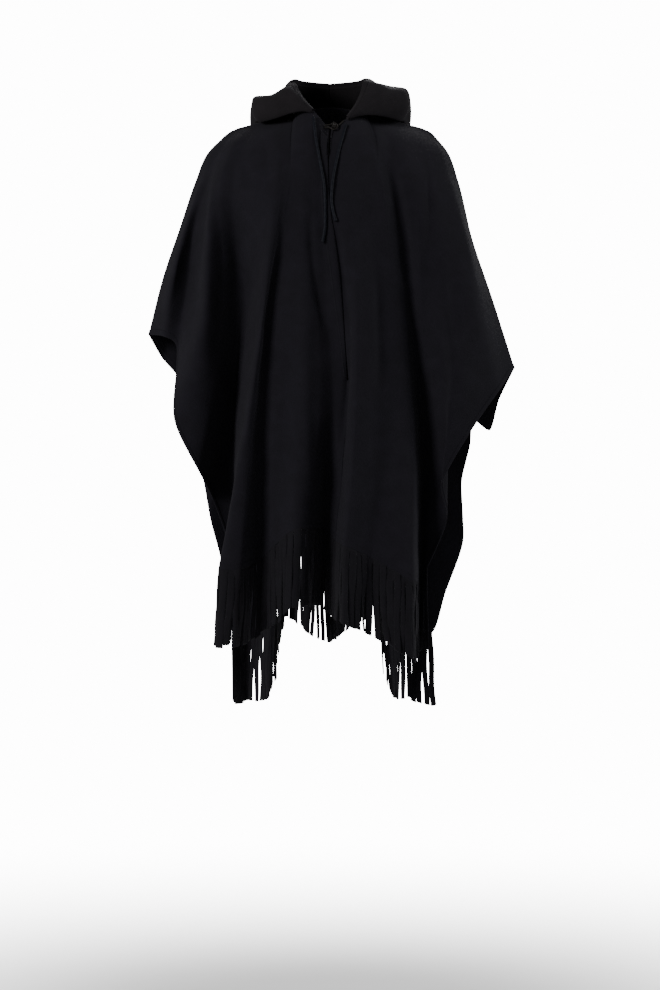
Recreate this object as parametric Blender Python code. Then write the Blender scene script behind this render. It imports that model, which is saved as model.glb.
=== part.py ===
"""A hooded cape of heavy black felted wool, in the hollow shape it takes when it is worn.

Every length is in metres, +Z is up and the front faces -Y. The origin is the centre of the base of
the wearer's neck, level with the shoulders, where the cape is held. The cut is a rectangle with a
neck hole, so the front and the back hang in long folds from the shoulder seam, which runs on down
the top of each arm to the elbow. Both sides stay open below the elbows.
"""

import math
from typing import NamedTuple

import bpy
import numpy as np

# Driving dimensions
WALL = 0.002
SEAM_GAP = 0.0003
PLACKET_WALL = 0.0015
FRINGE_LENGTH = 0.135
FRINGE_STRIP = 0.006
FRINGE_PITCH = 0.0135
FRINGE_SLIT = 0.0022
FRINGE_GAP = 0.0009
FRINGE_UNEVEN = 0.006
FRINGE_TWIST = 0.5
TIP_SHARE = 0.94
TIE_DIAMETER = 0.0055
NECK_HALF_WIDTH = 0.064
NECK_FRONT = 0.072
NECK_BACK = 0.066
YOKE_Z = -0.11
CHEST_FALL = 0.304
ELBOW_FALL = 0.62
SLIT_END_Z = -0.47
KEYHOLE_WIDTH = 0.012
KEYHOLE_TOP_Z = -0.0225
KEYHOLE_END_Z = -0.105
SLIT_WIDTH = 0.0008

# The frog: a knot, a loop that lies on the throat's slope (metres outward for each metre up), a tail
KNOT_RADIUS = 0.0046
KNOT_SEGMENTS = 14
KNOT_RINGS = 9
KNOT_PLACE = (0.0070, -0.0803, -0.0220)
FROG_CORD = 0.0030
THROAT_SLOPE = 0.90
LOOP_LIFT = 0.0007
LOOP_LEFT_X = -0.0095
LOOP_END_SHARE = 0.62
LOOP_WRAP = math.radians(144)
LOOP_POINTS = 13
TAIL = ((0.0148, -0.0758, -0.0200), (0.0195, -0.0730, -0.0155), (0.0243, -0.0702, -0.0107))

# How finely the panels are cut up
ROWS = 17
FRONT_STEPS = 3
BACK_STEPS = 2
HOOD_TURNS = 2
HOOD_PROFILE = 13

# Between the top edge and the yoke the cloth bows: this share of the way out, this share of it down
BOW_OUT = 0.6
BOW_DOWN = 0.4
FOLD_TENSION = 0.38

# How far the shoulder seam runs back for each metre out from the neck
SEAM_BACK = 0.03

# The fringe falls along the cloth's own slope and straight down, in these shares
SLOPE_SHARE = 0.35
PLUMB_SHARE = 0.65
STEEPEST_HEM = 0.4


class Fold(NamedTuple):
    """One ridge, valley or edge line: where it leaves the top edge, and x and y at four heights."""

    name: str
    top_x: float
    yoke_x: float
    chest_x: float
    elbow_x: float
    end_x: float
    yoke_y: float
    chest_y: float
    elbow_y: float
    end_y: float
    end_z: float


ARM_LEFT = Fold("arm left", -0.190, -0.241, -0.270, -0.300, -0.327, 0.000, 0.008, 0.014, 0.020, -0.385)
ARM_RIGHT = Fold("arm right", 0.185, 0.230, 0.255, 0.291, 0.332, 0.000, 0.002, 0.006, 0.010, -0.446)

FRONT_LEFT = (
    ARM_LEFT,
    Fold("sleeve", -0.176, -0.228, -0.257, -0.279, -0.297, -0.030, -0.045, -0.050, -0.035, -0.391),
    Fold("valley 0", -0.163, -0.216, -0.240, -0.252, -0.272, -0.045, -0.042, -0.035, -0.042, -0.414),
    Fold("ridge A", -0.150, -0.206, -0.216, -0.226, -0.274, -0.065, -0.105, -0.118, -0.108, -0.540),
    Fold("slope A", -0.136, -0.191, -0.190, -0.200, -0.232, -0.083, -0.090, -0.101, -0.110, -0.631),
    Fold("valley 1", -0.122, -0.170, -0.162, -0.170, -0.208, -0.089, -0.074, -0.065, -0.050, -0.684),
    Fold("corner", -0.108, -0.150, -0.143, -0.166, -0.172, -0.100, -0.078, -0.058, -0.030, -0.795),
    Fold("ridge B", -0.094, -0.100, -0.116, -0.147, -0.194, -0.120, -0.138, -0.148, -0.140, -0.805),
    Fold("face B", -0.080, -0.085, -0.110, -0.135, -0.158, -0.121, -0.140, -0.150, -0.150, -0.805),
    Fold("valley 2", -0.064, -0.070, -0.104, -0.120, -0.124, -0.120, -0.126, -0.124, -0.100, -0.790),
    Fold("ridge C", -0.045, -0.048, -0.048, -0.053, -0.066, -0.123, -0.140, -0.151, -0.165, -0.737),
    Fold("slope C", -0.028, -0.030, -0.026, -0.020, -0.038, -0.124, -0.136, -0.144, -0.150, -0.735),
    Fold("valley 3", -0.015, -0.016, -0.009, 0.005, -0.009, -0.124, -0.130, -0.130, -0.100, -0.735),
    Fold("slit", 0.001, -0.003, 0.018, 0.030, 0.010, -0.125, -0.135, -0.132, -0.122, -0.755),
)
FRONT_RIGHT = (
    FRONT_LEFT[-1],
    Fold("ridge D", 0.028, 0.026, 0.051, 0.048, 0.028, -0.125, -0.147, -0.165, -0.172, -0.765),
    Fold("valley 4", 0.047, 0.056, 0.088, 0.087, 0.073, -0.122, -0.123, -0.132, -0.143, -0.785),
    Fold("ridge E", 0.064, 0.088, 0.121, 0.142, 0.143, -0.117, -0.103, -0.111, -0.150, -0.825),
    Fold("valley 5", 0.080, 0.112, 0.141, 0.159, 0.158, -0.104, -0.080, -0.061, -0.058, -0.822),
    Fold("corner", 0.095, 0.127, 0.159, 0.180, 0.173, -0.104, -0.090, -0.072, -0.068, -0.803),
    Fold("edge I", 0.110, 0.143, 0.173, 0.200, 0.207, -0.102, -0.100, -0.095, -0.085, -0.719),
    Fold("edge H", 0.126, 0.160, 0.194, 0.213, 0.197, -0.094, -0.105, -0.112, -0.105, -0.655),
    Fold("ridge F", 0.143, 0.184, 0.216, 0.237, 0.240, -0.080, -0.099, -0.107, -0.100, -0.574),
    Fold("edge G", 0.162, 0.212, 0.243, 0.268, 0.296, -0.050, -0.074, -0.076, -0.056, -0.495),
    ARM_RIGHT,
)
BACK = (
    ARM_LEFT,
    Fold("sleeve left", -0.172, -0.225, -0.250, -0.279, -0.305, 0.035, 0.050, 0.055, 0.050, -0.425),
    Fold("valley left", -0.155, -0.212, -0.235, -0.254, -0.274, 0.055, 0.062, 0.062, 0.062, -0.465),
    Fold("ridge left", -0.140, -0.198, -0.222, -0.238, -0.255, 0.075, 0.112, 0.135, 0.140, -0.545),
    Fold("edge B left", -0.125, -0.180, -0.198, -0.218, -0.236, 0.088, 0.105, 0.118, 0.125, -0.638),
    Fold("edge C left", -0.112, -0.160, -0.175, -0.194, -0.221, 0.096, 0.108, 0.112, 0.115, -0.712),
    Fold("edge D left", -0.100, -0.140, -0.152, -0.172, -0.200, 0.101, 0.125, 0.140, 0.145, -0.800),
    Fold("corner left", -0.088, -0.118, -0.135, -0.160, -0.182, 0.106, 0.140, 0.165, 0.175, -0.922),
    Fold("ridge 1", -0.075, -0.100, -0.115, -0.134, -0.150, 0.109, 0.142, 0.175, 0.205, -0.925),
    Fold("valley 1", -0.064, -0.080, -0.088, -0.098, -0.110, 0.110, 0.122, 0.124, 0.130, -0.908),
    Fold("ridge 2", -0.048, -0.060, -0.066, -0.073, -0.082, 0.112, 0.138, 0.168, 0.195, -0.770),
    Fold("valley 2", -0.026, -0.034, -0.034, -0.034, -0.036, 0.114, 0.126, 0.130, 0.125, -0.795),
    Fold("ridge 3", 0.000, 0.000, 0.002, 0.000, -0.006, 0.115, 0.136, 0.165, 0.195, -0.815),
    Fold("valley 3", 0.026, 0.034, 0.036, 0.034, 0.026, 0.114, 0.124, 0.122, 0.118, -0.795),
    Fold("ridge 4", 0.048, 0.062, 0.070, 0.078, 0.083, 0.112, 0.140, 0.172, 0.200, -0.775),
    Fold("valley 4", 0.064, 0.082, 0.092, 0.100, 0.108, 0.110, 0.122, 0.126, 0.132, -0.905),
    Fold("ridge 5", 0.075, 0.102, 0.118, 0.134, 0.146, 0.109, 0.144, 0.178, 0.208, -0.922),
    Fold("corner right", 0.088, 0.120, 0.142, 0.168, 0.191, 0.106, 0.138, 0.165, 0.175, -0.930),
    Fold("edge D right", 0.100, 0.142, 0.160, 0.187, 0.214, 0.101, 0.125, 0.145, 0.155, -0.855),
    Fold("edge C right", 0.112, 0.160, 0.184, 0.214, 0.246, 0.096, 0.110, 0.125, 0.140, -0.760),
    Fold("edge B right", 0.125, 0.180, 0.206, 0.226, 0.242, 0.088, 0.104, 0.118, 0.128, -0.655),
    Fold("ridge right", 0.138, 0.196, 0.224, 0.243, 0.256, 0.076, 0.095, 0.105, 0.108, -0.585),
    Fold("notch right", 0.148, 0.206, 0.234, 0.253, 0.262, 0.062, 0.080, 0.090, 0.095, -0.537),
    Fold("valley right", 0.160, 0.216, 0.243, 0.270, 0.292, 0.048, 0.060, 0.070, 0.078, -0.556),
    Fold("sleeve right", 0.172, 0.225, 0.252, 0.282, 0.306, 0.030, 0.040, 0.045, 0.045, -0.502),
    ARM_RIGHT,
)
FRONT_HEM = (FRONT_LEFT[6], FRONT_RIGHT[5])
BACK_HEM = (BACK[7], BACK[17])

# The shoulder seam and the neckline, each a line of heights read against x
SHOULDER_X = (-0.200, -0.179, -0.165, -0.134, -0.100, -0.064, 0.064, 0.100, 0.134, 0.165, 0.179, 0.200)
SHOULDER_Z = (-0.037, -0.021, -0.015, -0.007, 0.001, 0.012, 0.012, 0.001, -0.007, -0.015, -0.021, -0.037)
THROAT_X = (-0.064, -0.045, -0.030, -0.024, -0.018, -0.011, -0.005, 0.009, 0.018, 0.025, 0.036, 0.050, 0.064)
THROAT_Z = (0.012, 0.013, 0.009, 0.001, -0.006, -0.015, -0.021, -0.0225, -0.017, -0.010, -0.003, 0.006, 0.012)
NAPE_Z = 0.030


class HoodSection(NamedTuple):
    """One section of the lowered hood, at an angle round the neck from the throat: radius and height."""

    degrees: float
    low_r: float
    low_z: float
    fold_r: float
    fold_z: float
    side_r: float
    side_z: float
    crest_r: float
    crest_z: float
    rim_r: float
    rim_z: float
    right_lift: float
    right_shift: float


HOOD = (
    HoodSection(24, 0.0735, 0.007, 0.0785, 0.004, 0.0805, 0.006, 0.0795, 0.009, 0.0745, 0.0105, 0.000, -0.013),
    HoodSection(36, 0.0745, 0.013, 0.0835, 0.007, 0.0865, 0.014, 0.0830, 0.024, 0.0735, 0.025, 0.000, -0.009),
    HoodSection(50, 0.0765, 0.015, 0.0915, 0.0045, 0.0940, 0.022, 0.0850, 0.042, 0.070, 0.042, 0.000, -0.003),
    HoodSection(65, 0.0815, 0.013, 0.110, -0.003, 0.113, 0.028, 0.0900, 0.051, 0.066, 0.058, 0.006, 0.003),
    HoodSection(80, 0.0900, 0.008, 0.129, -0.006, 0.133, 0.034, 0.100, 0.043, 0.066, 0.064, 0.012, 0.002),
    HoodSection(95, 0.0950, 0.008, 0.137, -0.001, 0.138, 0.037, 0.104, 0.047, 0.070, 0.066, 0.016, 0.000),
    HoodSection(115, 0.100, 0.004, 0.150, -0.035, 0.158, 0.012, 0.112, 0.050, 0.080, 0.074, 0.012, 0.000),
    HoodSection(135, 0.103, -0.010, 0.168, -0.110, 0.188, -0.040, 0.140, 0.046, 0.088, 0.082, 0.004, 0.000),
    HoodSection(155, 0.105, -0.018, 0.162, -0.180, 0.198, -0.100, 0.162, 0.034, 0.112, 0.084, 0.000, 0.000),
    HoodSection(180, 0.106, -0.020, 0.152, -0.225, 0.200, -0.125, 0.168, 0.030, 0.124, 0.083, 0.000, 0.000),
)
CREST_SHARE = 0.3

# Each tie comes over the neck edge beside the throat and lies down the front
TIE_LEFT = (
    (-0.0290, -0.0789, -0.0045),
    (-0.0280, -0.0900, -0.0180),
    (-0.0268, -0.0987, -0.0305),
    (-0.0255, -0.1044, -0.0430),
    (-0.0205, -0.1177, -0.0730),
    (-0.0160, -0.1269, -0.0980),
    (-0.0105, -0.1355, -0.1300),
    (-0.0085, -0.1394, -0.1660),
    (-0.0085, -0.1397, -0.2030),
    (-0.0130, -0.1379, -0.2330),
)
TIE_RIGHT = (
    (0.0285, -0.0802, -0.0185),
    (0.0240, -0.0949, -0.0350),
    (0.0212, -0.1035, -0.0465),
    (0.0180, -0.1089, -0.0580),
    (0.0120, -0.1208, -0.0850),
    (0.0065, -0.1295, -0.1120),
    (0.0035, -0.1358, -0.1350),
    (0.0025, -0.1388, -0.1600),
    (0.0055, -0.1412, -0.1800),
    (0.0105, -0.1421, -0.1960),
)
TIE_SPACING = 0.012

FELT = ("felted wool", (0.0100, 0.0095, 0.0120, 1.0), 0.92)
HOOD_FELT = ("hood felt", (0.0105, 0.0090, 0.0098, 1.0), 0.92)
FRINGE_FELT = ("fringe felt", (0.0085, 0.0082, 0.0105, 1.0), 0.94)
CORD = ("tie cord", (0.0065, 0.0070, 0.0100, 1.0), 0.70)
FROG = ("frog cord", (0.0120, 0.0090, 0.0080, 1.0), 0.60)


def clear_scene():
    """Removes what the new file starts with."""
    for thing in list(bpy.data.objects):
        bpy.data.objects.remove(thing, do_unlink=True)


def dress(thing, finish):
    """Gives an object its own plain material."""
    name, colour, roughness = finish
    material = bpy.data.materials.new(f"{name} of {thing.name}")
    material.use_nodes = True
    shader = material.node_tree.nodes["Principled BSDF"]
    shader.inputs["Base Color"].default_value = colour
    shader.inputs["Roughness"].default_value = roughness
    shader.inputs["Metallic"].default_value = 0.0
    thing.data.materials.append(material)


def mesh_object(name, points, triangles, finish):
    """An object from corner points and triangles."""
    mesh = bpy.data.meshes.new(name)
    mesh.from_pydata([tuple(point) for point in points], [], [tuple(t) for t in triangles])
    mesh.validate()
    mesh.shade_smooth()
    thing = bpy.data.objects.new(name, mesh)
    bpy.context.scene.collection.objects.link(thing)
    dress(thing, finish)
    return thing


def unit(vectors):
    """Vectors of length one."""
    return vectors / np.linalg.norm(vectors, axis=-1, keepdims=True)


def along(knots, places, distances=None):
    """Points of a smooth curve through the knots, at places measured along its chords."""
    knots = np.asarray(knots, float)
    if distances is None:
        steps = np.linalg.norm(np.diff(knots, axis=0), axis=1)
        distances = np.concatenate([[0.0], np.cumsum(steps)])
    slopes = np.gradient(knots, distances, axis=0)
    spans = np.clip(np.searchsorted(distances, places, side="right") - 1, 0, len(knots) - 2)
    width = (distances[spans + 1] - distances[spans])[:, None]
    u = ((places - distances[spans])[:, None]) / width
    start, end = knots[spans], knots[spans + 1]
    leave, arrive = slopes[spans] * width, slopes[spans + 1] * width
    blend = u * u * (3 - 2 * u)
    return start + (end - start) * blend + leave * u * (1 - u) ** 2 - arrive * u * u * (1 - u)


def spread(folds, steps):
    """The table's numbers with extra lines eased in between each two folds."""
    table = np.array([fold[1:] for fold in folds])
    slopes = FOLD_TENSION * np.gradient(table, axis=0) * 2
    lines = []
    for left in range(len(folds) - 1):
        for step in range(steps):
            u = step / steps
            blend = u * u * (3 - 2 * u)
            line = table[left] + (table[left + 1] - table[left]) * blend
            line = line + slopes[left] * u * (1 - u) ** 2 - slopes[left + 1] * u * u * (1 - u)
            lines.append(line)
    lines.append(table[-1])
    return np.array(lines)


def top_edge(x, side):
    """A point of the shoulder seam, or of the neckline in front (side -1) or behind (side +1)."""
    if abs(x) >= NECK_HALF_WIDTH:
        back = SEAM_BACK * (abs(x) - NECK_HALF_WIDTH)
        return np.array([x, back, np.interp(x, SHOULDER_X, SHOULDER_Z)])
    reach = math.sqrt(1 - (x / NECK_HALF_WIDTH) ** 2)
    if side < 0:
        return np.array([x, -NECK_FRONT * reach, np.interp(x, THROAT_X, THROAT_Z)])
    seam_z = SHOULDER_Z[SHOULDER_X.index(NECK_HALF_WIDTH)]
    return np.array([x, NECK_BACK * reach, seam_z + (NAPE_Z - seam_z) * reach * reach])


def drop(line, side):
    """The points of one fold line from the top edge to the cloth's lower edge."""
    top_x, yoke_x, chest_x, elbow_x, end_x, yoke_y, chest_y, elbow_y, end_y, end_z = line
    top = top_edge(top_x, side)
    yoke = np.array([yoke_x, yoke_y, YOKE_Z])
    bow = top + (yoke - top) * np.array([BOW_OUT, BOW_OUT, BOW_DOWN])
    chest = (chest_x, chest_y, YOKE_Z + CHEST_FALL * (end_z - YOKE_Z))
    elbow = (elbow_x, elbow_y, YOKE_Z + ELBOW_FALL * (end_z - YOKE_Z))
    knots = np.array([top, bow, yoke, chest, elbow, (end_x, end_y, end_z)])
    length = np.linalg.norm(np.diff(knots, axis=0), axis=1).sum()
    return along(knots, np.linspace(0, length, ROWS + 1))


def panel_points(folds, steps, side):
    """A grid of points on the middle of a panel's cloth: a row for each height, a column for each line."""
    return np.stack([drop(line, side) for line in spread(folds, steps)], axis=1)


def surface_normals(points, outward):
    """The direction that leaves the cloth at each point, on its outer side."""
    across = np.gradient(points, axis=1)
    down = np.gradient(points, axis=0)
    return unit(np.cross(across, down)) * outward


def settle_seams(points, normals, side):
    """Turns the normals along the shoulder and arm seams square to the seam, and parts the panels there."""
    columns = points.shape[1]
    shoulder = np.abs(points[0, :, 0]) >= NECK_HALF_WIDTH
    tangents = np.gradient(points[0], axis=0)
    square = unit(np.stack([-tangents[:, 2], 0 * tangents[:, 2], tangents[:, 0]], axis=1))
    normals[0, shoulder] = square[shoulder]
    points[0, shoulder, 1] += side * SEAM_GAP
    for column, turn in ((0, 1), (columns - 1, -1)):
        tangents = np.gradient(points[:, column], axis=0)
        square = unit(np.stack([tangents[:, 2], 0 * tangents[:, 2], -tangents[:, 0]], axis=1))
        normals[:, column] = square * turn
        points[1:, column, 1] += side * SEAM_GAP


def wall(name, points, normals, thickness, finish, kept=None):
    """A closed wall of cloth on a grid of middle points, with its edges closed round every gap."""
    rows, columns = points.shape[:2]
    if kept is None:
        kept = np.ones((rows - 1, columns - 1), bool)
    half = normals * thickness / 2
    corners = np.concatenate([(points + half).reshape(-1, 3), (points - half).reshape(-1, 3)])
    inner = rows * columns
    across = points[:-1, 1:] - points[:-1, :-1]
    down = points[1:, :-1] - points[:-1, :-1]
    facing = np.sum(np.cross(across, down) * normals[:-1, :-1])
    triangles = []
    borders = {}
    for row in range(rows - 1):
        for column in range(columns - 1):
            if not kept[row, column]:
                continue
            a = row * columns + column
            ring = [a, a + 1, a + columns + 1, a + columns]
            triangles += face(ring, facing > 0)
            triangles += face([corner + inner for corner in ring], facing < 0)
            if facing < 0:
                ring = [ring[0], ring[3], ring[2], ring[1]]
            for start, end in zip(ring, ring[1:] + ring[:1]):
                if (end, start) in borders:
                    del borders[(end, start)]
                else:
                    borders[(start, end)] = True
    for start, end in borders:
        triangles += [(end, start, start + inner), (end, start + inner, end + inner)]
    used = sorted({corner for triangle in triangles for corner in triangle})
    place = {corner: index for index, corner in enumerate(used)}
    renamed = [tuple(place[corner] for corner in triangle) for triangle in triangles]
    return mesh_object(name, corners[used], renamed, finish)


def face(ring, forward):
    """Two triangles on a ring of four corners, always split on the same diagonal."""
    a, b, c, d = ring
    if forward:
        return [(a, b, c), (a, c, d)]
    return [(a, c, b), (a, d, c)]


def front_grid():
    """The front's middle points and normals, with the column on each side of the slit."""
    left = panel_points(FRONT_LEFT, FRONT_STEPS, -1)
    right = panel_points(FRONT_RIGHT, FRONT_STEPS, -1)
    for block, column, turn in ((left, -1, -1), (right, 0, 1)):
        z = block[:, column, 2]
        wide = np.interp(z, (KEYHOLE_END_Z, KEYHOLE_TOP_Z), (SLIT_WIDTH, KEYHOLE_WIDTH))
        block[:, column, 0] += turn * wide / 2
    points = np.concatenate([left, right], axis=1)
    normals = surface_normals(points, -1)
    settle_seams(points, normals, -1)
    return points, normals, left.shape[1] - 1


def build_front(points, normals, slit):
    """The front panel, slit from the neckline down."""
    kept = np.ones((points.shape[0] - 1, points.shape[1] - 1), bool)
    kept[:, slit] = points[:-1, slit, 2] < SLIT_END_Z
    return wall("front", points, normals, WALL, FELT, kept)


def build_placket(points, normals, slit):
    """The turned band on the slit's left edge, made from the front's own points moved out."""
    rows = int(np.sum(points[:, slit, 2] > SLIT_END_Z))
    strip = slice(slit - FRONT_STEPS, slit + 1)
    lift = WALL / 2 + SEAM_GAP + PLACKET_WALL / 2
    raised = points[1:rows, strip] + normals[1:rows, strip] * lift
    return wall("placket", raised, normals[1:rows, strip], PLACKET_WALL, FELT)


def back_grid():
    """The back's middle points and normals."""
    points = panel_points(BACK, BACK_STEPS, 1)
    normals = surface_normals(points, 1)
    settle_seams(points, normals, 1)
    return points, normals


def neck_ring(degrees, turn, edges):
    """A point on the panels' neck edge, and the way out of the cloth, at an angle from the throat."""
    angle = math.radians(degrees)
    points, normals = edges[degrees > 90]
    depth = NECK_BACK if degrees > 90 else NECK_FRONT
    reach = math.hypot(math.sin(angle) / NECK_HALF_WIDTH, math.cos(angle) / depth)
    x = turn * math.sin(angle) / reach
    place = np.array([np.interp(x, points[:, 0], points[:, axis]) for axis in range(3)])
    out = np.array([np.interp(x, points[:, 0], normals[:, axis]) for axis in range(3)])
    return place, unit(out)


def build_hood(name, turn, edges):
    """One half of the lowered hood, from the throat to the seam behind."""
    table = np.array(HOOD)
    sections = len(HOOD)
    fine = np.linspace(0, sections - 1, (sections - 1) * HOOD_TURNS + 1)
    lines = along(table, fine, np.arange(sections, dtype=float))
    grid = []
    for line in lines:
        degrees, lift, shift = line[0], line[-2] * (turn > 0), line[-1] * (turn > 0)
        angle = math.radians(degrees)
        outward = np.array([turn * math.sin(angle), -math.cos(angle), 0.0])
        place, out = neck_ring(degrees, turn, edges)
        knots = [place + out * (WALL + 2 * SEAM_GAP)]
        lifts = (0, 0, lift, lift, lift * CREST_SHARE)
        for index, raise_by in enumerate(lifts):
            radius, height = line[1 + 2 * index], line[2 + 2 * index] + shift
            knots.append(outward * radius + np.array([0.0, 0.0, height + raise_by]))
        knots = np.array(knots)
        length = np.linalg.norm(np.diff(knots, axis=0), axis=1).sum()
        grid.append(along(knots, np.linspace(0, length, HOOD_PROFILE)))
    points = np.stack(grid, axis=1)
    points[:, -1, 0] = turn * SEAM_GAP / 2
    normals = surface_normals(points, turn)
    normals[:, -1, 0] = 0
    normals = unit(normals)
    return wall(name, points, normals, WALL, HOOD_FELT)


def uneven(index, seed):
    """A steady, irregular number between -1 and 1."""
    return math.sin(index * 2.399 + seed) * 0.6 + math.sin(index * 5.131 + 2 * seed) * 0.4


def build_fringe(name, side, points, normals):
    """Strips cut in the cloth below the hem, fused at the top in a narrow strip under the hem's edge."""
    hem = points[-1].copy()
    out = normals[-1] * WALL / 2
    fall = unit(points[-1] - points[-2])
    run = unit(np.gradient(hem, axis=0))
    hem[:, 2] -= FRINGE_GAP / np.maximum(STEEPEST_HEM, np.hypot(run[:, 0], run[:, 1]))
    level = unit(run * np.array([1.0, 1.0, 0.0]))
    fall = fall - level * np.sum(fall * level, axis=1, keepdims=True)
    fall = unit(SLOPE_SHARE * unit(fall) + np.array([0.0, 0.0, -PLUMB_SHARE]))
    sections = []
    for index in range(len(hem) - 1):
        span = np.linalg.norm(hem[index + 1] - hem[index])
        count = max(1, round(span / FRINGE_PITCH))
        margin = FRINGE_SLIT / 2 / span
        for strand in range(count):
            for share in (strand / count + margin, (strand + 1) / count - margin):
                sections.append([
                    hem[index] * (1 - share) + hem[index + 1] * share,
                    out[index] * (1 - share) + out[index + 1] * share,
                    unit(fall[index] * (1 - share) + fall[index + 1] * share),
                ])
    corners = []
    for place, half, down in sections:
        foot = place + down * FRINGE_STRIP
        corners += [place + half, place - half, foot - half, foot + half]
    triangles = []
    flip = side > 0
    for number in range(len(sections) - 1):
        a = 4 * number
        b = a + 4
        rings = [(a, a + 1, b + 1, b), (a + 1, a + 2, b + 2, b + 1), (a + 3, a, b, b + 3)]
        if number % 2:
            rings.append((a + 2, a + 3, b + 3, b + 2))
        for ring in rings:
            triangles += face(ring, flip)
    end = 4 * (len(sections) - 1)
    triangles += face((0, 3, 2, 1), flip)
    triangles += face((end, end + 1, end + 2, end + 3), flip)
    for number in range(0, len(sections), 2):
        root = [4 * number + 3, 4 * number + 7, 4 * number + 6, 4 * number + 2]
        down = sections[number][2]
        length = FRINGE_LENGTH - FRINGE_STRIP + FRINGE_UNEVEN * uneven(number, 1.0)
        centre = sum(corners[corner] for corner in root) / 4
        twist = FRINGE_TWIST * uneven(number, 2.0)
        tip = []
        for corner in root:
            arm = corners[corner] - centre
            turned = arm * math.cos(twist) + np.cross(down, arm) * math.sin(twist)
            tip.append(len(corners))
            corners.append(centre + turned * TIP_SHARE + down * length)
        for side_index in range(4):
            following = (side_index + 1) % 4
            ring = (root[side_index], root[following], tip[following], tip[side_index])
            triangles += face(ring, flip)
        triangles += face(tip, flip)
    return mesh_object(name, corners, triangles, FRINGE_FELT)


def build_cord(name, route, diameter, spacing, finish):
    """A round cord along its route."""
    knots = np.array(route)
    length = np.linalg.norm(np.diff(knots, axis=0), axis=1).sum()
    places = np.linspace(0, length, round(length / spacing) + 1)
    line = along(knots, places)
    curve = bpy.data.curves.new(name, "CURVE")
    curve.dimensions = "3D"
    curve.bevel_depth = diameter / 2
    curve.bevel_resolution = 2
    curve.use_fill_caps = True
    spline = curve.splines.new("POLY")
    spline.points.add(len(line) - 1)
    for point, place in zip(spline.points, line):
        point.co = (*place, 1.0)
    thing = bpy.data.objects.new(name, curve)
    bpy.context.scene.collection.objects.link(thing)
    dress(thing, finish)
    return thing


def build_frog():
    """The frog that closes the throat: a knot on the right, a loop from the left round it, and a tail."""
    bpy.ops.mesh.primitive_uv_sphere_add(
        segments=KNOT_SEGMENTS, ring_count=KNOT_RINGS, radius=KNOT_RADIUS, location=KNOT_PLACE)
    knot = bpy.context.object
    knot.name = "frog_knot"
    knot.data.shade_smooth()
    dress(knot, FROG)
    x, y, z = KNOT_PLACE
    radius = KNOT_RADIUS + SEAM_GAP + FROG_CORD / 2
    apart = LOOP_END_SHARE * FROG_CORD
    route = [(LOOP_LEFT_X, apart)]
    for turn in np.linspace(LOOP_WRAP, -LOOP_WRAP, LOOP_POINTS):
        route.append((x + radius * math.cos(turn), radius * math.sin(turn)))
    route.append((LOOP_LEFT_X, -apart))
    loop = [(across, y - LOOP_LIFT + THROAT_SLOPE * up, z + up) for across, up in route]
    build_cord("frog_loop", loop, FROG_CORD, FROG_CORD, FROG)
    build_cord("frog_tail", TAIL, FROG_CORD, FROG_CORD, FROG)


def main():
    """Builds the cape's pieces."""
    clear_scene()
    front, front_normals, slit = front_grid()
    back, back_normals = back_grid()
    build_front(front, front_normals, slit)
    build_placket(front, front_normals, slit)
    wall("back", back, back_normals, WALL, FELT)
    edges = ((front[0], front_normals[0]), (back[0], back_normals[0]))
    build_hood("hood_left", -1, edges)
    build_hood("hood_right", 1, edges)
    first = FRONT_LEFT.index(FRONT_HEM[0]) * FRONT_STEPS
    last = slit + 1 + FRONT_RIGHT.index(FRONT_HEM[1]) * FRONT_STEPS
    build_fringe("fringe_front", -1, front[:, first:last + 1], front_normals[:, first:last + 1])
    first = BACK.index(BACK_HEM[0]) * BACK_STEPS
    last = BACK.index(BACK_HEM[1]) * BACK_STEPS
    build_fringe("fringe_back", 1, back[:, first:last + 1], back_normals[:, first:last + 1])
    build_frog()
    build_cord("tie_left", TIE_LEFT, TIE_DIAMETER, TIE_SPACING, CORD)
    build_cord("tie_right", TIE_RIGHT, TIE_DIAMETER, TIE_SPACING, CORD)


main()
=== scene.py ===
"""A hooded cape of heavy black felted wool, hollow and in the shape it takes when it is worn.

Every length is in metres, +Z is up and the front faces -Y. The origin is the centre of the neck's
base. The folds' tables are the ones that the solids are built from, read more finely
here, with the small creases, hems, stitches and the fringe's own bends laid over them.
"""

import logging
import math
from dataclasses import dataclass
from enum import Enum
from typing import NamedTuple, Optional, Sequence

import bpy
import numpy as np
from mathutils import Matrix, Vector


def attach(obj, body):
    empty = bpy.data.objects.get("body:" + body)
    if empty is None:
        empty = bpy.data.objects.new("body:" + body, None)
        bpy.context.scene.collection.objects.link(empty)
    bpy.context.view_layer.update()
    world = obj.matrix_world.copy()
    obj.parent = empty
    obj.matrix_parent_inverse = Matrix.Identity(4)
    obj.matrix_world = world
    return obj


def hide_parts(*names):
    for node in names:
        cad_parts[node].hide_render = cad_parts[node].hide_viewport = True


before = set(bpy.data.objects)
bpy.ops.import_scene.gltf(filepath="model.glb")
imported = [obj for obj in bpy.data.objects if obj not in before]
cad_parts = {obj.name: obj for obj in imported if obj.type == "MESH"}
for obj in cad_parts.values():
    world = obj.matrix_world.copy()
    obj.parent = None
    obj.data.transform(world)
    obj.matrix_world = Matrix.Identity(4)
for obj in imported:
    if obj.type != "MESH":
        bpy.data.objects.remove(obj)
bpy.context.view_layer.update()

LOG = logging.getLogger("cape")

PHOTO_HIGH = 990
METRES_PER_PIXEL = 0.0018
CAMERA_PLACE = (0.0, -5.0, -0.675)
SENSOR = 36.0

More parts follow.
